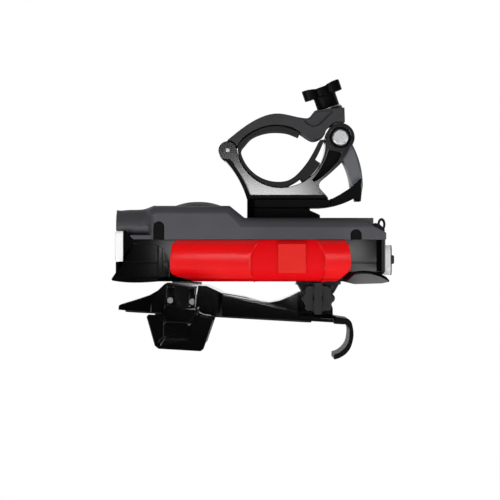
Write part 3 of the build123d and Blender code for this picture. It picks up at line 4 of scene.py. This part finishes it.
import bmesh
import bpy
from bpy.props import FloatProperty, PointerProperty, StringProperty
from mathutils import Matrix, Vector


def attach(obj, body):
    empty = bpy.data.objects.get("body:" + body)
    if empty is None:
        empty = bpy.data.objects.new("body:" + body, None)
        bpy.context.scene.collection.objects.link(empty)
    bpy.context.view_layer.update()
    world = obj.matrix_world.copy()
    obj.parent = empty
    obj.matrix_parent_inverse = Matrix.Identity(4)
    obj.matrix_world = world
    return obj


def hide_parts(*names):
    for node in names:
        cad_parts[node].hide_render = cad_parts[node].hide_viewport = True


bl_info = {
    "name": "Bicycle headlight",
    "version": (1, 0, 0),
    "blender": (4, 5, 0),
    "location": "3D View > Sidebar > Headlight",
    "description": "Finishes the pieces of a bicycle headlight around its packed frame",
    "category": "Object",
}

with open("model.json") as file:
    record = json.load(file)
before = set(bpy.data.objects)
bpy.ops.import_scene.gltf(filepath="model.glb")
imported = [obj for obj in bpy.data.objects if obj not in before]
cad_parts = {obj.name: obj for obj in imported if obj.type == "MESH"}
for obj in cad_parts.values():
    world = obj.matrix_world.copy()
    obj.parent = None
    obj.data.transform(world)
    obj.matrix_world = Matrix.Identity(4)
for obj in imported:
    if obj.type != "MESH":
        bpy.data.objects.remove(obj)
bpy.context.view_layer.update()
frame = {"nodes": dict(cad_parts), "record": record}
NODES = frame["nodes"]
RECORD = frame["record"]
BODY_OF = {node: body for body, nodes in RECORD["behaviour"]["bodies"].items() for node in nodes}

MM = 0.001
WHITE = "#ffffff"

# Meshes: lengths in millimetres, angles in degrees
WELD_MM = 0.002  # corners of a node's loose triangles closer than this are joined
FLAT_ANGLE = 0.6  # faces that meet flatter than this count as one
EDGE_ANGLE = 28  # edges sharper than this are rounded
EDGE_SEGMENTS = 2  # faces across a rounded edge
SIDEWAYS = 0.3  # least Y of the normal on a face that looks to a side
ALL = (-math.inf, math.inf)  # no limit along an axis

# Finishes
PATCH_MM = 18.0  # size of the soft patches of colour in moulded plastic
PATCH_LOW, PATCH_HIGH = 0.35, 0.65  # noise below and above them shows one tone alone
GRAIN_DEPTH_MM = 0.03  # depth of its surface grain
COAT_ROUGHNESS = 0.22  # of the clear coat on the red panels
LINE_DEPTH_MM = 0.02  # depth of the lines in metal
LINE_SPREAD = 0.07  # how far a metal's roughness strays along them
RIPPLE_MM = 2.5  # size of the faint ripple in milky plastic
RIPPLE_DEPTH_MM = 0.05
NOISE_LOW, NOISE_HIGH = 0.3, 0.7  # nearly all of the noise lies between these
MIX_LOW, MIX_HIGH, MIXED = 6, 7, 2  # colour sockets of the Mix node: two inputs, one output

# Stage, in metres
SENSOR_MM = 36.0
CLIP_NEAR, CLIP_FAR = 0.01, 20.0
FLOOR_HALF = 4.0  # from the middle of the floor to its edge
FLOOR_LOW, FLOOR_HIGH = 0.88, 0.9  # tones of the floor
FLOOR_GLOW = 0.85  # keeps the floor white for the camera
# How squarely away from the viewer a mirrored ray points: dark up to the first, white from the
# second, where 1 is straight away
MIRROR_DARK, MIRROR_WHITE = 0.2, 0.9

# Soft lights: place, width and height, the property with the power, and the way it looks. The
# small ones behind the camera look straight ahead, the others at the middle of the picture.
LIGHTS = (
    ("top_light", (0.0, 0.0, 0.7), (0.8, 0.5), "top_power", "middle"),
    ("side_light", (0.8, -0.05, -0.05), (0.4, 0.4), "side_power", "middle"),
    ("corner_light", (0.105, -1.0, -0.075), (0.06, 0.03), "corner_power", "ahead"),
    ("left_light", (-0.6, -0.75, -0.45), (0.7, 0.6), "front_power", "middle"),
    ("right_light", (0.6, -0.8, -0.45), (0.7, 0.6), "front_power", "middle"),
    ("window_light", (-0.0025, -1.0, -0.008), (0.085, 0.05), "window_power", "ahead"),
    ("strip_light", (0.0, -1.01, -0.044), (0.176, 0.022), "strip_power", "ahead"),
)


def linear(code):
    """An sRGB hex colour as linear red, green, blue and alpha"""
    values = [int(code[i:i + 2], 16) / 255 for i in (1, 3, 5)]
    return tuple(v / 12.92 if v <= 0.04045 else ((v + 0.055) / 1.055) ** 2.4
                 for v in values) + (1.0,)


def feed(tree, node, links, values):
    """Links some sockets of a node to their sources and sets others to values"""
    for socket, source in links.items():
        tree.links.new(source, node.inputs[socket])
    for socket, value in values.items():
        node.inputs[socket].default_value = value


def add(tree, kind, links=None, values=None, **options):
    """One node with its options, and with its sockets linked or set"""
    node = tree.nodes.new(kind)
    for option, value in options.items():
        setattr(node, option, value)
    feed(tree, node, links or {}, values or {})
    return node


def new_material(name):
    """An empty node material with its Principled shader wired to the output"""
    material = bpy.data.materials.new(name)
    material.use_nodes = True
    tree = material.node_tree
    tree.nodes.clear()
    shader = add(tree, "ShaderNodeBsdfPrincipled")
    add(tree, "ShaderNodeOutputMaterial", {"Surface": shader.outputs["BSDF"]})
    return material, tree, shader


def moulded(name, low, high, roughness, grain_mm, bump, speck=0.06, ior=1.54, spread=0.06,
            specular=0.5, coat=0.0):
    """Moulded plastic or rubber: two close tones in large soft patches and a fine surface grain"""
    material, tree, shader = new_material(name)
    place = add(tree, "ShaderNodeTexCoord").outputs["Object"]
    patch = add(tree, "ShaderNodeTexNoise", {"Vector": place},
                {"Scale": 1 / (PATCH_MM * MM), "Detail": 2.0})
    grain = add(tree, "ShaderNodeTexNoise", {"Vector": place},
                {"Scale": 1 / (grain_mm * MM), "Detail": 3.0, "Roughness": 0.6})
    tone = add(tree, "ShaderNodeMapRange", {"Value": patch.outputs["Fac"]},
               {"From Min": PATCH_LOW, "From Max": PATCH_HIGH})
    blend = add(tree, "ShaderNodeMix", {"Factor": tone.outputs["Result"]},
                {MIX_LOW: linear(low), MIX_HIGH: linear(high)}, data_type="RGBA")
    fleck = add(tree, "ShaderNodeMapRange", {"Value": grain.outputs["Fac"]},
                {"From Min": NOISE_LOW, "From Max": NOISE_HIGH,
                 "To Min": 1 - speck, "To Max": 1 + speck})
    colour = add(tree, "ShaderNodeVectorMath",
                 {0: blend.outputs[MIXED], 1: fleck.outputs["Result"]}, operation="MULTIPLY")
    rough = add(tree, "ShaderNodeMapRange", {"Value": grain.outputs["Fac"]},
                {"From Min": NOISE_LOW, "From Max": NOISE_HIGH,
                 "To Min": roughness - spread, "To Max": roughness + spread})
    relief = add(tree, "ShaderNodeBump", {"Height": grain.outputs["Fac"]},
                 {"Strength": bump, "Distance": GRAIN_DEPTH_MM * MM})
    feed(tree, shader,
         {"Base Color": colour.outputs["Vector"], "Roughness": rough.outputs["Result"],
          "Normal": relief.outputs["Normal"]},
         {"IOR": ior, "Specular IOR Level": specular, "Coat Weight": coat,
          "Coat Roughness": COAT_ROUGHNESS})
    return material


def metal(name, low, high, roughness, line_mm, stretch, bump):
    """Metal with a fine texture; a stretch above 1 on an axis turns it into lines across it"""
    material, tree, shader = new_material(name)
    place = add(tree, "ShaderNodeTexCoord").outputs["Object"]
    turned = add(tree, "ShaderNodeMapping", {"Vector": place}, {"Scale": stretch})
    lines = add(tree, "ShaderNodeTexNoise", {"Vector": turned.outputs["Vector"]},
                {"Scale": 1 / (line_mm * MM), "Detail": 4.0, "Roughness": 0.6})
    blend = add(tree, "ShaderNodeMix", {"Factor": lines.outputs["Fac"]},
                {MIX_LOW: linear(low), MIX_HIGH: linear(high)}, data_type="RGBA")
    rough = add(tree, "ShaderNodeMapRange", {"Value": lines.outputs["Fac"]},
                {"From Min": NOISE_LOW, "From Max": NOISE_HIGH,
                 "To Min": roughness - LINE_SPREAD, "To Max": roughness + LINE_SPREAD})
    relief = add(tree, "ShaderNodeBump", {"Height": lines.outputs["Fac"]},
                 {"Strength": bump, "Distance": LINE_DEPTH_MM * MM})
    feed(tree, shader,
         {"Base Color": blend.outputs[MIXED], "Roughness": rough.outputs["Result"],
          "Normal": relief.outputs["Normal"]},
         {"Metallic": 1.0})
    return material


def milky(name):
    """Milky plastic: white with a faint ripple, some of what is behind shines through, and a faint
    painted glow
    """
    material, tree, shader = new_material(name)
    place = add(tree, "ShaderNodeTexCoord").outputs["Object"]
    ripple = add(tree, "ShaderNodeTexNoise", {"Vector": place},
                 {"Scale": 1 / (RIPPLE_MM * MM), "Detail": 1.0})
    relief = add(tree, "ShaderNodeBump", {"Height": ripple.outputs["Fac"]},
                 {"Strength": 0.08, "Distance": RIPPLE_DEPTH_MM * MM})
    haze = add(tree, "ShaderNodeMapRange", {"Value": ripple.outputs["Fac"]},
               {"To Min": 0.08, "To Max": 0.2})
    # The white emission is a painted glow that keeps the piece bright white
    feed(tree, shader,
         {"Normal": relief.outputs["Normal"], "Roughness": haze.outputs["Result"]},
         {"Base Color": linear(WHITE), "Transmission Weight": 0.2, "IOR": 1.58,
          "Emission Color": linear(WHITE), "Emission Strength": 0.15})
    return material


def make_finishes(colours):
    """Every finish of the headlight, by name"""
    return {
        # Spark-textured ABS of the upper shell: dark grey with broad soft highlights
        "matte_abs": moulded("spark_textured_abs", colours.matte_low, colours.matte_high,
                             roughness=0.58, grain_mm=0.35, bump=0.5),
        # Smooth ABS of the lower jaw: near black, it mirrors the lights as clear bright areas
        "satin_abs": moulded("satin_abs", "#1c1c1e", "#222224",
                             roughness=0.1, grain_mm=0.6, bump=0.0, spread=0.002),
        # Fine-textured ABS of the upper jaw: darker than the shell
        "jaw_abs": moulded("fine_textured_abs", "#29292b", "#303033",
                           roughness=0.5, grain_mm=0.35, bump=0.4),
        # Polished ABS: deep black with sharp reflections
        "gloss_abs": moulded("polished_abs", colours.gloss_low, colours.gloss_high,
                             roughness=0.07, grain_mm=2.0, bump=0.02, speck=0.02, spread=0.004),
        # Red ABS with a clear coat: full colour under a sheen that fades down the panel
        "red_abs": moulded("coated_red_abs", colours.red_low, colours.red_high,
                           roughness=0.5, grain_mm=0.5, bump=0.02, speck=0.02, specular=0.1,
                           coat=0.6),
        # Red ABS of the round dish: without the sheen, and a little darker red as painted shade
        "dish_red": moulded("dull_red_abs", "#ee000c", "#f40010",
                            roughness=0.5, grain_mm=0.5, bump=0.1, speck=0.02, specular=0.12),
        # Grained red ABS of the pad: a little more orange, and rough to the eye
        "pad_red": moulded("grained_red_abs", "#f41c10", "#fc2a1a",
                           roughness=0.6, grain_mm=0.4, bump=0.7, speck=0.08, specular=0.3),
        # Moulded rubber: black with almost no highlight
        "rubber": moulded("moulded_rubber", "#0d0d0e", "#141415",
                          roughness=0.72, grain_mm=0.3, bump=0.5, ior=1.52),
        # Rubber of the rear button: greyer, so that it stands out from its dark plate
        "button_rubber": moulded("button_rubber", "#232326", "#2c2c2f",
                                 roughness=0.6, grain_mm=0.3, bump=0.3, ior=1.52),
        # Plain ABS of the hidden pieces: dark grey
        "inner_abs": moulded("inner_abs", "#1c1c1e", "#232325",
                             roughness=0.5, grain_mm=0.6, bump=0.2),
        # Acetal of the pinion: waxy off-white
        "acetal": moulded("acetal", "#dcd9cf", "#e6e3da",
                          roughness=0.4, grain_mm=0.6, bump=0.1, speck=0.02),
        # Shrink wrap round the cells: blue and slightly glossy
        "shrink_wrap": moulded("shrink_wrap", "#1f5f96", "#2a70ab",
                               roughness=0.25, grain_mm=1.5, bump=0.1, speck=0.02),
        # Solder mask of the boards: green, smooth
        "solder_mask": moulded("solder_mask", "#0c4a22", "#11602e",
                               roughness=0.3, grain_mm=1.0, bump=0.1),
        # Phosphor over the light chips: chalky yellow
        "phosphor": moulded("phosphor", "#e8cf5a", "#f0dc7c",
                            roughness=0.5, grain_mm=0.4, bump=0.1),
        # Filled ABS of shoe, tongue, rail, clamp knob, hook and horn cap: black and dull
        "dull_abs": moulded("dull_black_abs", "#060607", "#090909",
                            roughness=0.45, grain_mm=0.35, bump=0.3, specular=0.09),
        # Painted shade for recesses and snap tabs: dead black, since little light gets in
        "recess": moulded("moulded_black_abs", "#040405", "#070708",
                          roughness=0.7, grain_mm=0.5, bump=0.2, specular=0.15),
        # Black nylon of the tilt knob: a shade lighter, so that its lobes stand out
        "nylon": moulded("matte_black_nylon", "#0f0f11", "#151517",
                         roughness=0.38, grain_mm=0.35, bump=0.15, specular=0.4),
        # Zinc plated steel of pins and screws: bright, and mottled too finely to see lines
        "steel": metal("plated_steel", "#e6e7ea", "#f3f4f6",
                       roughness=0.45, line_mm=0.25, stretch=(1, 1, 1), bump=0.1),
        # Drawn steel of the rods: greyer than the plated pieces
        "drawn_steel": metal("drawn_steel", "#88898c", "#a0a1a5",
                             roughness=0.4, line_mm=0.25, stretch=(1, 6, 1), bump=0.1),
        # Anodised aluminium of the lever: dark and satin
        "lever_metal": metal("dark_anodised_aluminium", "#747579", "#84858a",
                             roughness=0.42, line_mm=0.2, stretch=(1, 1, 6), bump=0.15),
        # Milled aluminium of the heat sink: pale, with cutter lines
        "bare_aluminium": metal("milled_aluminium", "#b4b5b8", "#cacbce",
                                roughness=0.35, line_mm=0.3, stretch=(6, 1, 1), bump=0.15),
        # Vacuum plating of the reflector: almost a mirror
        "plating": metal("vacuum_plating", "#dcdcde", "#ececee",
                         roughness=0.12, line_mm=1.0, stretch=(1, 1, 1), bump=0.02),
        # Black oxide on the tilt bolt: hardly brighter than the knob round it
        "black_oxide": metal("black_oxide_steel", "#1a1a1c", "#232326",
                             roughness=0.5, line_mm=0.3, stretch=(1, 1, 1), bump=0.1),
        # Milky polycarbonate of the lens and the rear panel: bright white with a painted glow,
        # barely see-through
        "clear": milky("milky_polycarbonate"),
    }


# Filled by main, since some colours are settings of the scene
FINISHES = {}


def paint(finish, *nodes):
    """Gives carried-over nodes their finish"""
    for node in nodes:
        materials = NODES[node].data.materials
        materials.clear()
        materials.append(FINISHES[finish])


def rounded(node, finish, edge_mm, merge=False):
    """A copy of a node with rounded edges, which stands for it; merge joins its flat faces first"""
    mesh = NODES[node].data.copy()
    piece = bpy.data.objects.new(node + "_finish", mesh)
    bpy.context.scene.collection.objects.link(piece)
    work = bmesh.new()
    work.from_mesh(mesh)
    bmesh.ops.remove_doubles(work, verts=work.verts, dist=WELD_MM * MM)
    bmesh.ops.dissolve_degenerate(work, edges=work.edges, dist=WELD_MM * MM)
    if merge:
        bmesh.ops.dissolve_limit(work, angle_limit=math.radians(FLAT_ANGLE), verts=work.verts,
                                 edges=work.edges)
    for face in work.faces:
        face.smooth = True
    work.to_mesh(mesh)
    work.free()
    mesh.materials.clear()
    mesh.materials.append(FINISHES[finish])
    edge = piece.modifiers.new("rounded_edges", "BEVEL")
    edge.width = edge_mm * MM
    edge.segments = EDGE_SEGMENTS
    edge.limit_method = "ANGLE"
    edge.angle_limit = math.radians(EDGE_ANGLE)
    edge.use_clamp_overlap = False
    flat = piece.modifiers.new("flat_faces", "WEIGHTED_NORMAL")
    flat.keep_sharp = True
    mesh.set_sharp_from_angle(angle=math.radians(EDGE_ANGLE))
    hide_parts(node)
    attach(piece, BODY_OF[node])
    return piece


def split_at(piece, height_mm):
    """Cuts the faces of a piece at a height, so that a recoat can end there"""
    work = bmesh.new()
    work.from_mesh(piece.data)
    bmesh.ops.bisect_plane(work, geom=work.verts[:] + work.edges[:] + work.faces[:],
                           plane_co=(0, 0, height_mm * MM), plane_no=(0, 0, 1))
    work.to_mesh(piece.data)
    work.free()


def in_box(x=ALL, side=ALL, z=ALL, sideways=False):
    """A test for the faces in a box on each side, in millimetres; side is counted from Y = 0"""
    def test(place, normal):
        return (x[0] < place.x < x[1] and side[0] < abs(place.y) < side[1]
                and z[0] < place.z < z[1] and (not sideways or abs(normal.y) > SIDEWAYS))
    return test


def in_disc(x, z, radius, side=ALL, sideways=False):
    """A test for the faces in a disc on each side, in millimetres; side is counted from Y = 0"""
    def test(place, normal):
        return (math.hypot(place.x - x, place.z - z) < radius and side[0] < abs(place.y) < side[1]
                and (not sideways or abs(normal.y) > SIDEWAYS))
    return test


def recoat(piece, finish, inside):
    """Another finish on the faces whose middle, in millimetres, and normal pass a test"""
    piece.data.materials.append(FINISHES[finish])
    for face in piece.data.polygons:
        if inside(face.center / MM, face.normal):
            face.material_index = len(piece.data.materials) - 1


class HeadlightColours(bpy.types.PropertyGroup):
    """Colours of the main finishes, as sRGB hex codes"""
    matte_low: StringProperty(
        name="Matte black, low", default="#4b4b50",
        description="Darker tone of the textured shell")
    matte_high: StringProperty(
        name="Matte black, high", default="#535358",
        description="Lighter tone of the textured shell")
    gloss_low: StringProperty(
        name="Gloss black, low", default="#030304",
        description="Darker tone of the polished pieces")
    gloss_high: StringProperty(
        name="Gloss black, high", default="#050506",
        description="Lighter tone of the polished pieces")
    red_low: StringProperty(
        name="Red, low", default="#f60008",
        description="Darker tone of the side panels")
    red_high: StringProperty(
        name="Red, high", default="#ff060c",
        description="Lighter tone of the side panels")


class HeadlightStage(bpy.types.PropertyGroup):
    """Camera, lights and floor"""
    camera_distance: FloatProperty(
        name="Camera distance", default=0.9, min=0.3, subtype="DISTANCE", unit="LENGTH",
        description="From the middle plane of the headlight")
    frame_width: FloatProperty(
        name="Frame width", default=0.2085, min=0.05, subtype="DISTANCE", unit="LENGTH",
        description="Width of the picture at the middle plane")
    centre_x: FloatProperty(
        name="Centre X", default=-0.0117, subtype="DISTANCE", unit="LENGTH",
        description="Middle of the picture along X")
    centre_z: FloatProperty(
        name="Centre Z", default=-0.044, subtype="DISTANCE", unit="LENGTH",
        description="Middle of the picture along Z")
    floor_drop: FloatProperty(
        name="Floor drop", default=0.5, min=0.1, subtype="DISTANCE", unit="LENGTH",
        description="From the frame's origin down to the floor")
    top_power: FloatProperty(
        name="Top light", default=0.4, min=0.0, unit="POWER",
        description="Power of the soft light above the headlight")
    front_power: FloatProperty(
        name="Front light", default=7.5, min=0.0, unit="POWER",
        description="Power of the soft light on each side of the viewer")
    side_power: FloatProperty(
        name="Side light", default=0.3, min=0.0, unit="POWER",
        description="Power of the soft light at the right, which edges turned that way mirror")
    corner_power: FloatProperty(
        name="Corner light", default=0.021, min=0.0, unit="POWER",
        description="Power of the small light that the rear skirt mirrors")
    window_power: FloatProperty(
        name="Window light", default=0.28, min=0.0, unit="POWER",
        description="Power of the small light just above the viewer's eye, which the jaw mirrors")
    strip_power: FloatProperty(
        name="Strip light", default=0.041, min=0.0, unit="POWER",
        description="Power of the narrow light at eye height, which the panel and the rear mirror")
    room_level: FloatProperty(
        name="Room level", default=0.15, min=0.0,
        description="Strength of the surroundings as a light")
    dark_level: FloatProperty(
        name="Dark side", default=0.02, min=0.0,
        description="Strength of the room that the glossy pieces mirror behind the viewer")


def make_camera(stage):
    """The camera, level with the headlight and square to its side"""
    data = bpy.data.cameras.new("camera")
    data.sensor_width = SENSOR_MM
    data.lens = SENSOR_MM * stage.camera_distance / stage.frame_width
    data.clip_start = CLIP_NEAR
    data.clip_end = CLIP_FAR
    camera = bpy.data.objects.new("camera", data)
    camera.location = (stage.centre_x, -stage.camera_distance, stage.centre_z)
    camera.rotation_euler = (math.radians(90), 0, 0)
    bpy.context.scene.collection.objects.link(camera)
    bpy.context.scene.camera = camera


def make_light(name, place, aim, size, power):
    """A rectangular soft light at a place, turned to a point"""
    data = bpy.data.lights.new(name, "AREA")
    data.shape = "RECTANGLE"
    data.size, data.size_y = size
    data.energy = power
    lamp = bpy.data.objects.new(name, data)
    lamp.location = place
    lamp.rotation_euler = (Vector(aim) - Vector(place)).to_track_quat("-Z", "Y").to_euler()
    bpy.context.scene.collection.objects.link(lamp)


def make_world(stage):
    """White for the camera and through clear pieces; a dim light, and dark behind the viewer"""
    world = bpy.data.worlds.new("studio")
    bpy.context.scene.world = world
    world.use_nodes = True
    tree = world.node_tree
    tree.nodes.clear()
    rays = add(tree, "ShaderNodeLightPath")
    direction = add(tree, "ShaderNodeTexCoord").outputs["Generated"]
    along = add(tree, "ShaderNodeVectorMath", {0: direction}, {1: (0, 1, 0)},
                operation="DOT_PRODUCT")
    mirrored = add(tree, "ShaderNodeMapRange", {"Value": along.outputs["Value"]},
                   {"From Min": MIRROR_DARK, "From Max": MIRROR_WHITE,
                    "To Min": stage.dark_level, "To Max": 1.0},
                   interpolation_type="SMOOTHSTEP")
    lit = add(tree, "ShaderNodeMix",
              {"Factor": rays.outputs["Is Glossy Ray"], "B": mirrored.outputs["Result"]},
              {"A": stage.room_level})
    direct = add(tree, "ShaderNodeMath",
                 {0: rays.outputs["Is Camera Ray"], 1: rays.outputs["Is Transmission Ray"]},
                 operation="MAXIMUM")
    strength = add(tree, "ShaderNodeMix",
                   {"Factor": direct.outputs["Value"], "A": lit.outputs["Result"]}, {"B": 1.0})
    sky = add(tree, "ShaderNodeBackground", {"Strength": strength.outputs["Result"]},
              {"Color": linear(WHITE)})
    add(tree, "ShaderNodeOutputWorld", {"Surface": sky.outputs["Background"]})


def make_floor(stage):
    """A pale matt floor, whose glow only the camera sees"""
    work = bmesh.new()
    bmesh.ops.create_grid(work, x_segments=1, y_segments=1, size=FLOOR_HALF)
    bmesh.ops.translate(work, verts=work.verts, vec=(0, 0, -stage.floor_drop))
    mesh = bpy.data.meshes.new("floor")
    work.to_mesh(mesh)
    work.free()
    floor = bpy.data.objects.new("floor", mesh)
    bpy.context.scene.collection.objects.link(floor)
    material, tree, shader = new_material("white_floor")
    place = add(tree, "ShaderNodeTexCoord").outputs["Object"]
    tone = add(tree, "ShaderNodeTexNoise", {"Vector": place}, {"Scale": 2.0})
    level = add(tree, "ShaderNodeMapRange", {"Value": tone.outputs["Fac"]},
                {"To Min": FLOOR_LOW, "To Max": FLOOR_HIGH})
    rays = add(tree, "ShaderNodeLightPath")
    glow = add(tree, "ShaderNodeMath", {0: rays.outputs["Is Camera Ray"]}, {1: FLOOR_GLOW},
               operation="MULTIPLY")
    feed(tree, shader,
         {"Base Color": level.outputs["Result"], "Emission Strength": glow.outputs["Value"]},
         {"Roughness": 0.9, "Emission Color": linear(WHITE)})
    mesh.materials.append(material)


class HEADLIGHT_OT_stage(bpy.types.Operator):
    """Camera, lights, floor and white surroundings"""
    bl_idname = "headlight.stage"
    bl_label = "Stage"

    def execute(self, context):
        stage = context.scene.headlight_stage
        make_camera(stage)
        middle = (stage.centre_x, 0.0, stage.centre_z)
        for name, place, size, power, way in LIGHTS:
            aim = middle if way == "middle" else (place[0], 0.0, place[2])
            make_light(name, place, aim, size, getattr(stage, power))
        make_world(stage)
        make_floor(stage)
        return {"FINISHED"}


class HEADLIGHT_OT_clamp(bpy.types.Operator):
    """Clamp on the handlebar"""
    bl_idname = "headlight.clamp"
    bl_label = "Clamp"

    def execute(self, context):
        lower = rounded("lower_jaw", "satin_abs", edge_mm=0.25, merge=True)
        # Painted shade: dead black on the floor and walls of the pocket in the arm, and of the ring
        # round each end of the cross pin
        recoat(lower, "recess", in_box(x=(13.5, 25.5), side=(9.4, 11.95), z=(-16, -2.4)))
        recoat(lower, "recess", in_disc(x=25.5, z=2.4, radius=4.6, side=(10.7, 11.95)))
        rounded("upper_jaw", "jaw_abs", edge_mm=0.25, merge=True)
        rounded("liner_band", "rubber", edge_mm=0.2)
        lever = rounded("lock_lever", "lever_metal", edge_mm=0.25)
        # Painted shade: dark coat on the lever's tip, as it shows below the arm of the tongue
        tip_mm = -20.3
        split_at(lever, tip_mm)
        recoat(lever, "dull_abs", in_box(z=(-math.inf, tip_mm)))
        rounded("clamp_knob", "dull_abs", edge_mm=0.3)
        rounded("cross_pin", "steel", edge_mm=0.15)
        paint("steel", "hinge_pin", "clamp_bolt", "knob_washer")
        return {"FINISHED"}


class HEADLIGHT_OT_quick_release(bpy.types.Operator):
    """Shoe, tongue and rail"""
    bl_idname = "headlight.quick_release"
    bl_label = "Quick release"

    def execute(self, context):
        for node in ("slide_shoe", "release_tongue", "lamp_rail"):
            rounded(node, "dull_abs", edge_mm=0.2)
        paint("steel", "shoe_screws", "rail_screws")
        return {"FINISHED"}


class HEADLIGHT_OT_shells(bpy.types.Operator):
    """Shells, side panels and horn cap"""
    bl_idname = "headlight.shells"
    bl_label = "Shells"

    def execute(self, context):
        rounded("upper_shell", "matte_abs", edge_mm=0.25, merge=True)
        tub = rounded("lower_shell", "gloss_abs", edge_mm=0.12, merge=True)
        # Painted shade: snap tabs, dead black against the upper shell
        recoat(tub, "recess", in_box(side=(26.7, math.inf), z=(-39.7, math.inf)))
        for side in ("right", "left"):
            panel = rounded(side + "_side_panel", "red_abs", edge_mm=0.25, merge=True)
            # The round dish gets a darker red as painted shade, and no sheen
            recoat(panel, "dish_red", in_disc(x=3.6, z=-50.05, radius=15.0, sideways=True))
            recoat(panel, "pad_red", in_box(x=(-0.2, 10.8), side=(29.0, 29.5), sideways=True))
        rounded("horn_cap", "dull_abs", edge_mm=0.12)
        paint("rubber", "case_seal")
        return {"FINISHED"}


class HEADLIGHT_OT_light(bpy.types.Operator):
    """Lens, reflector and light board"""
    bl_idname = "headlight.light"
    bl_label = "Light"

    def execute(self, context):
        rounded("front_lens", "clear", edge_mm=0.2)
        rounded("reflector", "plating", edge_mm=0.1)
        paint("solder_mask", "led_board")
        paint("phosphor", "led_chips")
        paint("bare_aluminium", "heat_sink")
        return {"FINISHED"}


class HEADLIGHT_OT_inside(bpy.types.Operator):
    """Cells, boards and horn"""
    bl_idname = "headlight.inside"
    bl_label = "Inside"

    def execute(self, context):
        paint("shrink_wrap", "battery_cells")
        paint("inner_abs", "battery_cradle", "button_switch", "horn_speaker")
        paint("solder_mask", "main_board", "rear_board")
        paint("steel", "board_screws", "charge_port")
        return {"FINISHED"}


class HEADLIGHT_OT_rear(bpy.types.Operator):
    """Rear panel, button and rubber plug"""
    bl_idname = "headlight.rear"
    bl_label = "Rear"

    def execute(self, context):
        rounded("rear_panel", "clear", edge_mm=0.25)
        rounded("rear_button", "button_rubber", edge_mm=0.2)
        rounded("face_plate", "gloss_abs", edge_mm=0.08)
        rounded("usb_plug", "rubber", edge_mm=0.15)
        return {"FINISHED"}


class HEADLIGHT_OT_holder(bpy.types.Operator):
    """Phone holder with its bracket, side jaws and hook"""
    bl_idname = "headlight.holder"
    bl_label = "Phone holder"

    def execute(self, context):
        rounded("pivot_bracket", "gloss_abs", edge_mm=0.2)
        # Hardly rounded, because the holder turns close by
        rounded("tilt_knob", "nylon", edge_mm=0.12)
        rounded("holder_base", "gloss_abs", edge_mm=0.15)
        rounded("phone_pad", "rubber", edge_mm=0.15)
        rounded("bottom_hook", "dull_abs", edge_mm=0.25)
        for side in ("right", "left"):
            rounded(side + "_phone_jaw", "gloss_abs", edge_mm=0.2)
            rounded(side + "_jaw_pad", "rubber", edge_mm=0.15)
            paint("drawn_steel", side + "_jaw_rods")
        paint("inner_abs", "base_cover")
        paint("acetal", "jaw_pinion")
        paint("steel", "bracket_screws", "tilt_nut", "pinion_pin")
        paint("black_oxide", "tilt_bolt")
        return {"FINISHED"}


class HEADLIGHT_PT_panel(bpy.types.Panel):
    """Lists the steps that dress the headlight, and its settings"""
    bl_idname = "HEADLIGHT_PT_panel"
    bl_label = "Bicycle headlight"
    bl_space_type = "VIEW_3D"
    bl_region_type = "UI"
    bl_category = "Headlight"

    def draw(self, context):
        for operator in OPERATORS:
            self.layout.operator(operator.bl_idname)
        for settings in (context.scene.headlight_colours, context.scene.headlight_stage):
            for key in settings.__annotations__:
                self.layout.prop(settings, key)


OPERATORS = (
    HEADLIGHT_OT_stage, HEADLIGHT_OT_clamp, HEADLIGHT_OT_quick_release, HEADLIGHT_OT_shells,
    HEADLIGHT_OT_light, HEADLIGHT_OT_inside, HEADLIGHT_OT_rear, HEADLIGHT_OT_holder,
)
CLASSES = (HeadlightColours, HeadlightStage) + OPERATORS + (HEADLIGHT_PT_panel,)


def register():
    """Registers the classes and hangs the settings on the scene"""
    for cls in CLASSES:
        bpy.utils.register_class(cls)
    bpy.types.Scene.headlight_colours = PointerProperty(type=HeadlightColours)
    bpy.types.Scene.headlight_stage = PointerProperty(type=HeadlightStage)


def unregister():
    """Takes back what register did"""
    del bpy.types.Scene.headlight_stage
    del bpy.types.Scene.headlight_colours
    for cls in reversed(CLASSES):
        bpy.utils.unregister_class(cls)


def main():
    """Dresses the headlight"""
    register()
    scene = bpy.context.scene
    scene.view_settings.view_transform = "Standard"
    FINISHES.update(make_finishes(scene.headlight_colours))
    bpy.ops.headlight.stage()
    bpy.ops.headlight.clamp()
    bpy.ops.headlight.quick_release()
    bpy.ops.headlight.shells()
    bpy.ops.headlight.light()
    bpy.ops.headlight.inside()
    bpy.ops.headlight.rear()
    bpy.ops.headlight.holder()


if __name__ == "__main__":
    main()
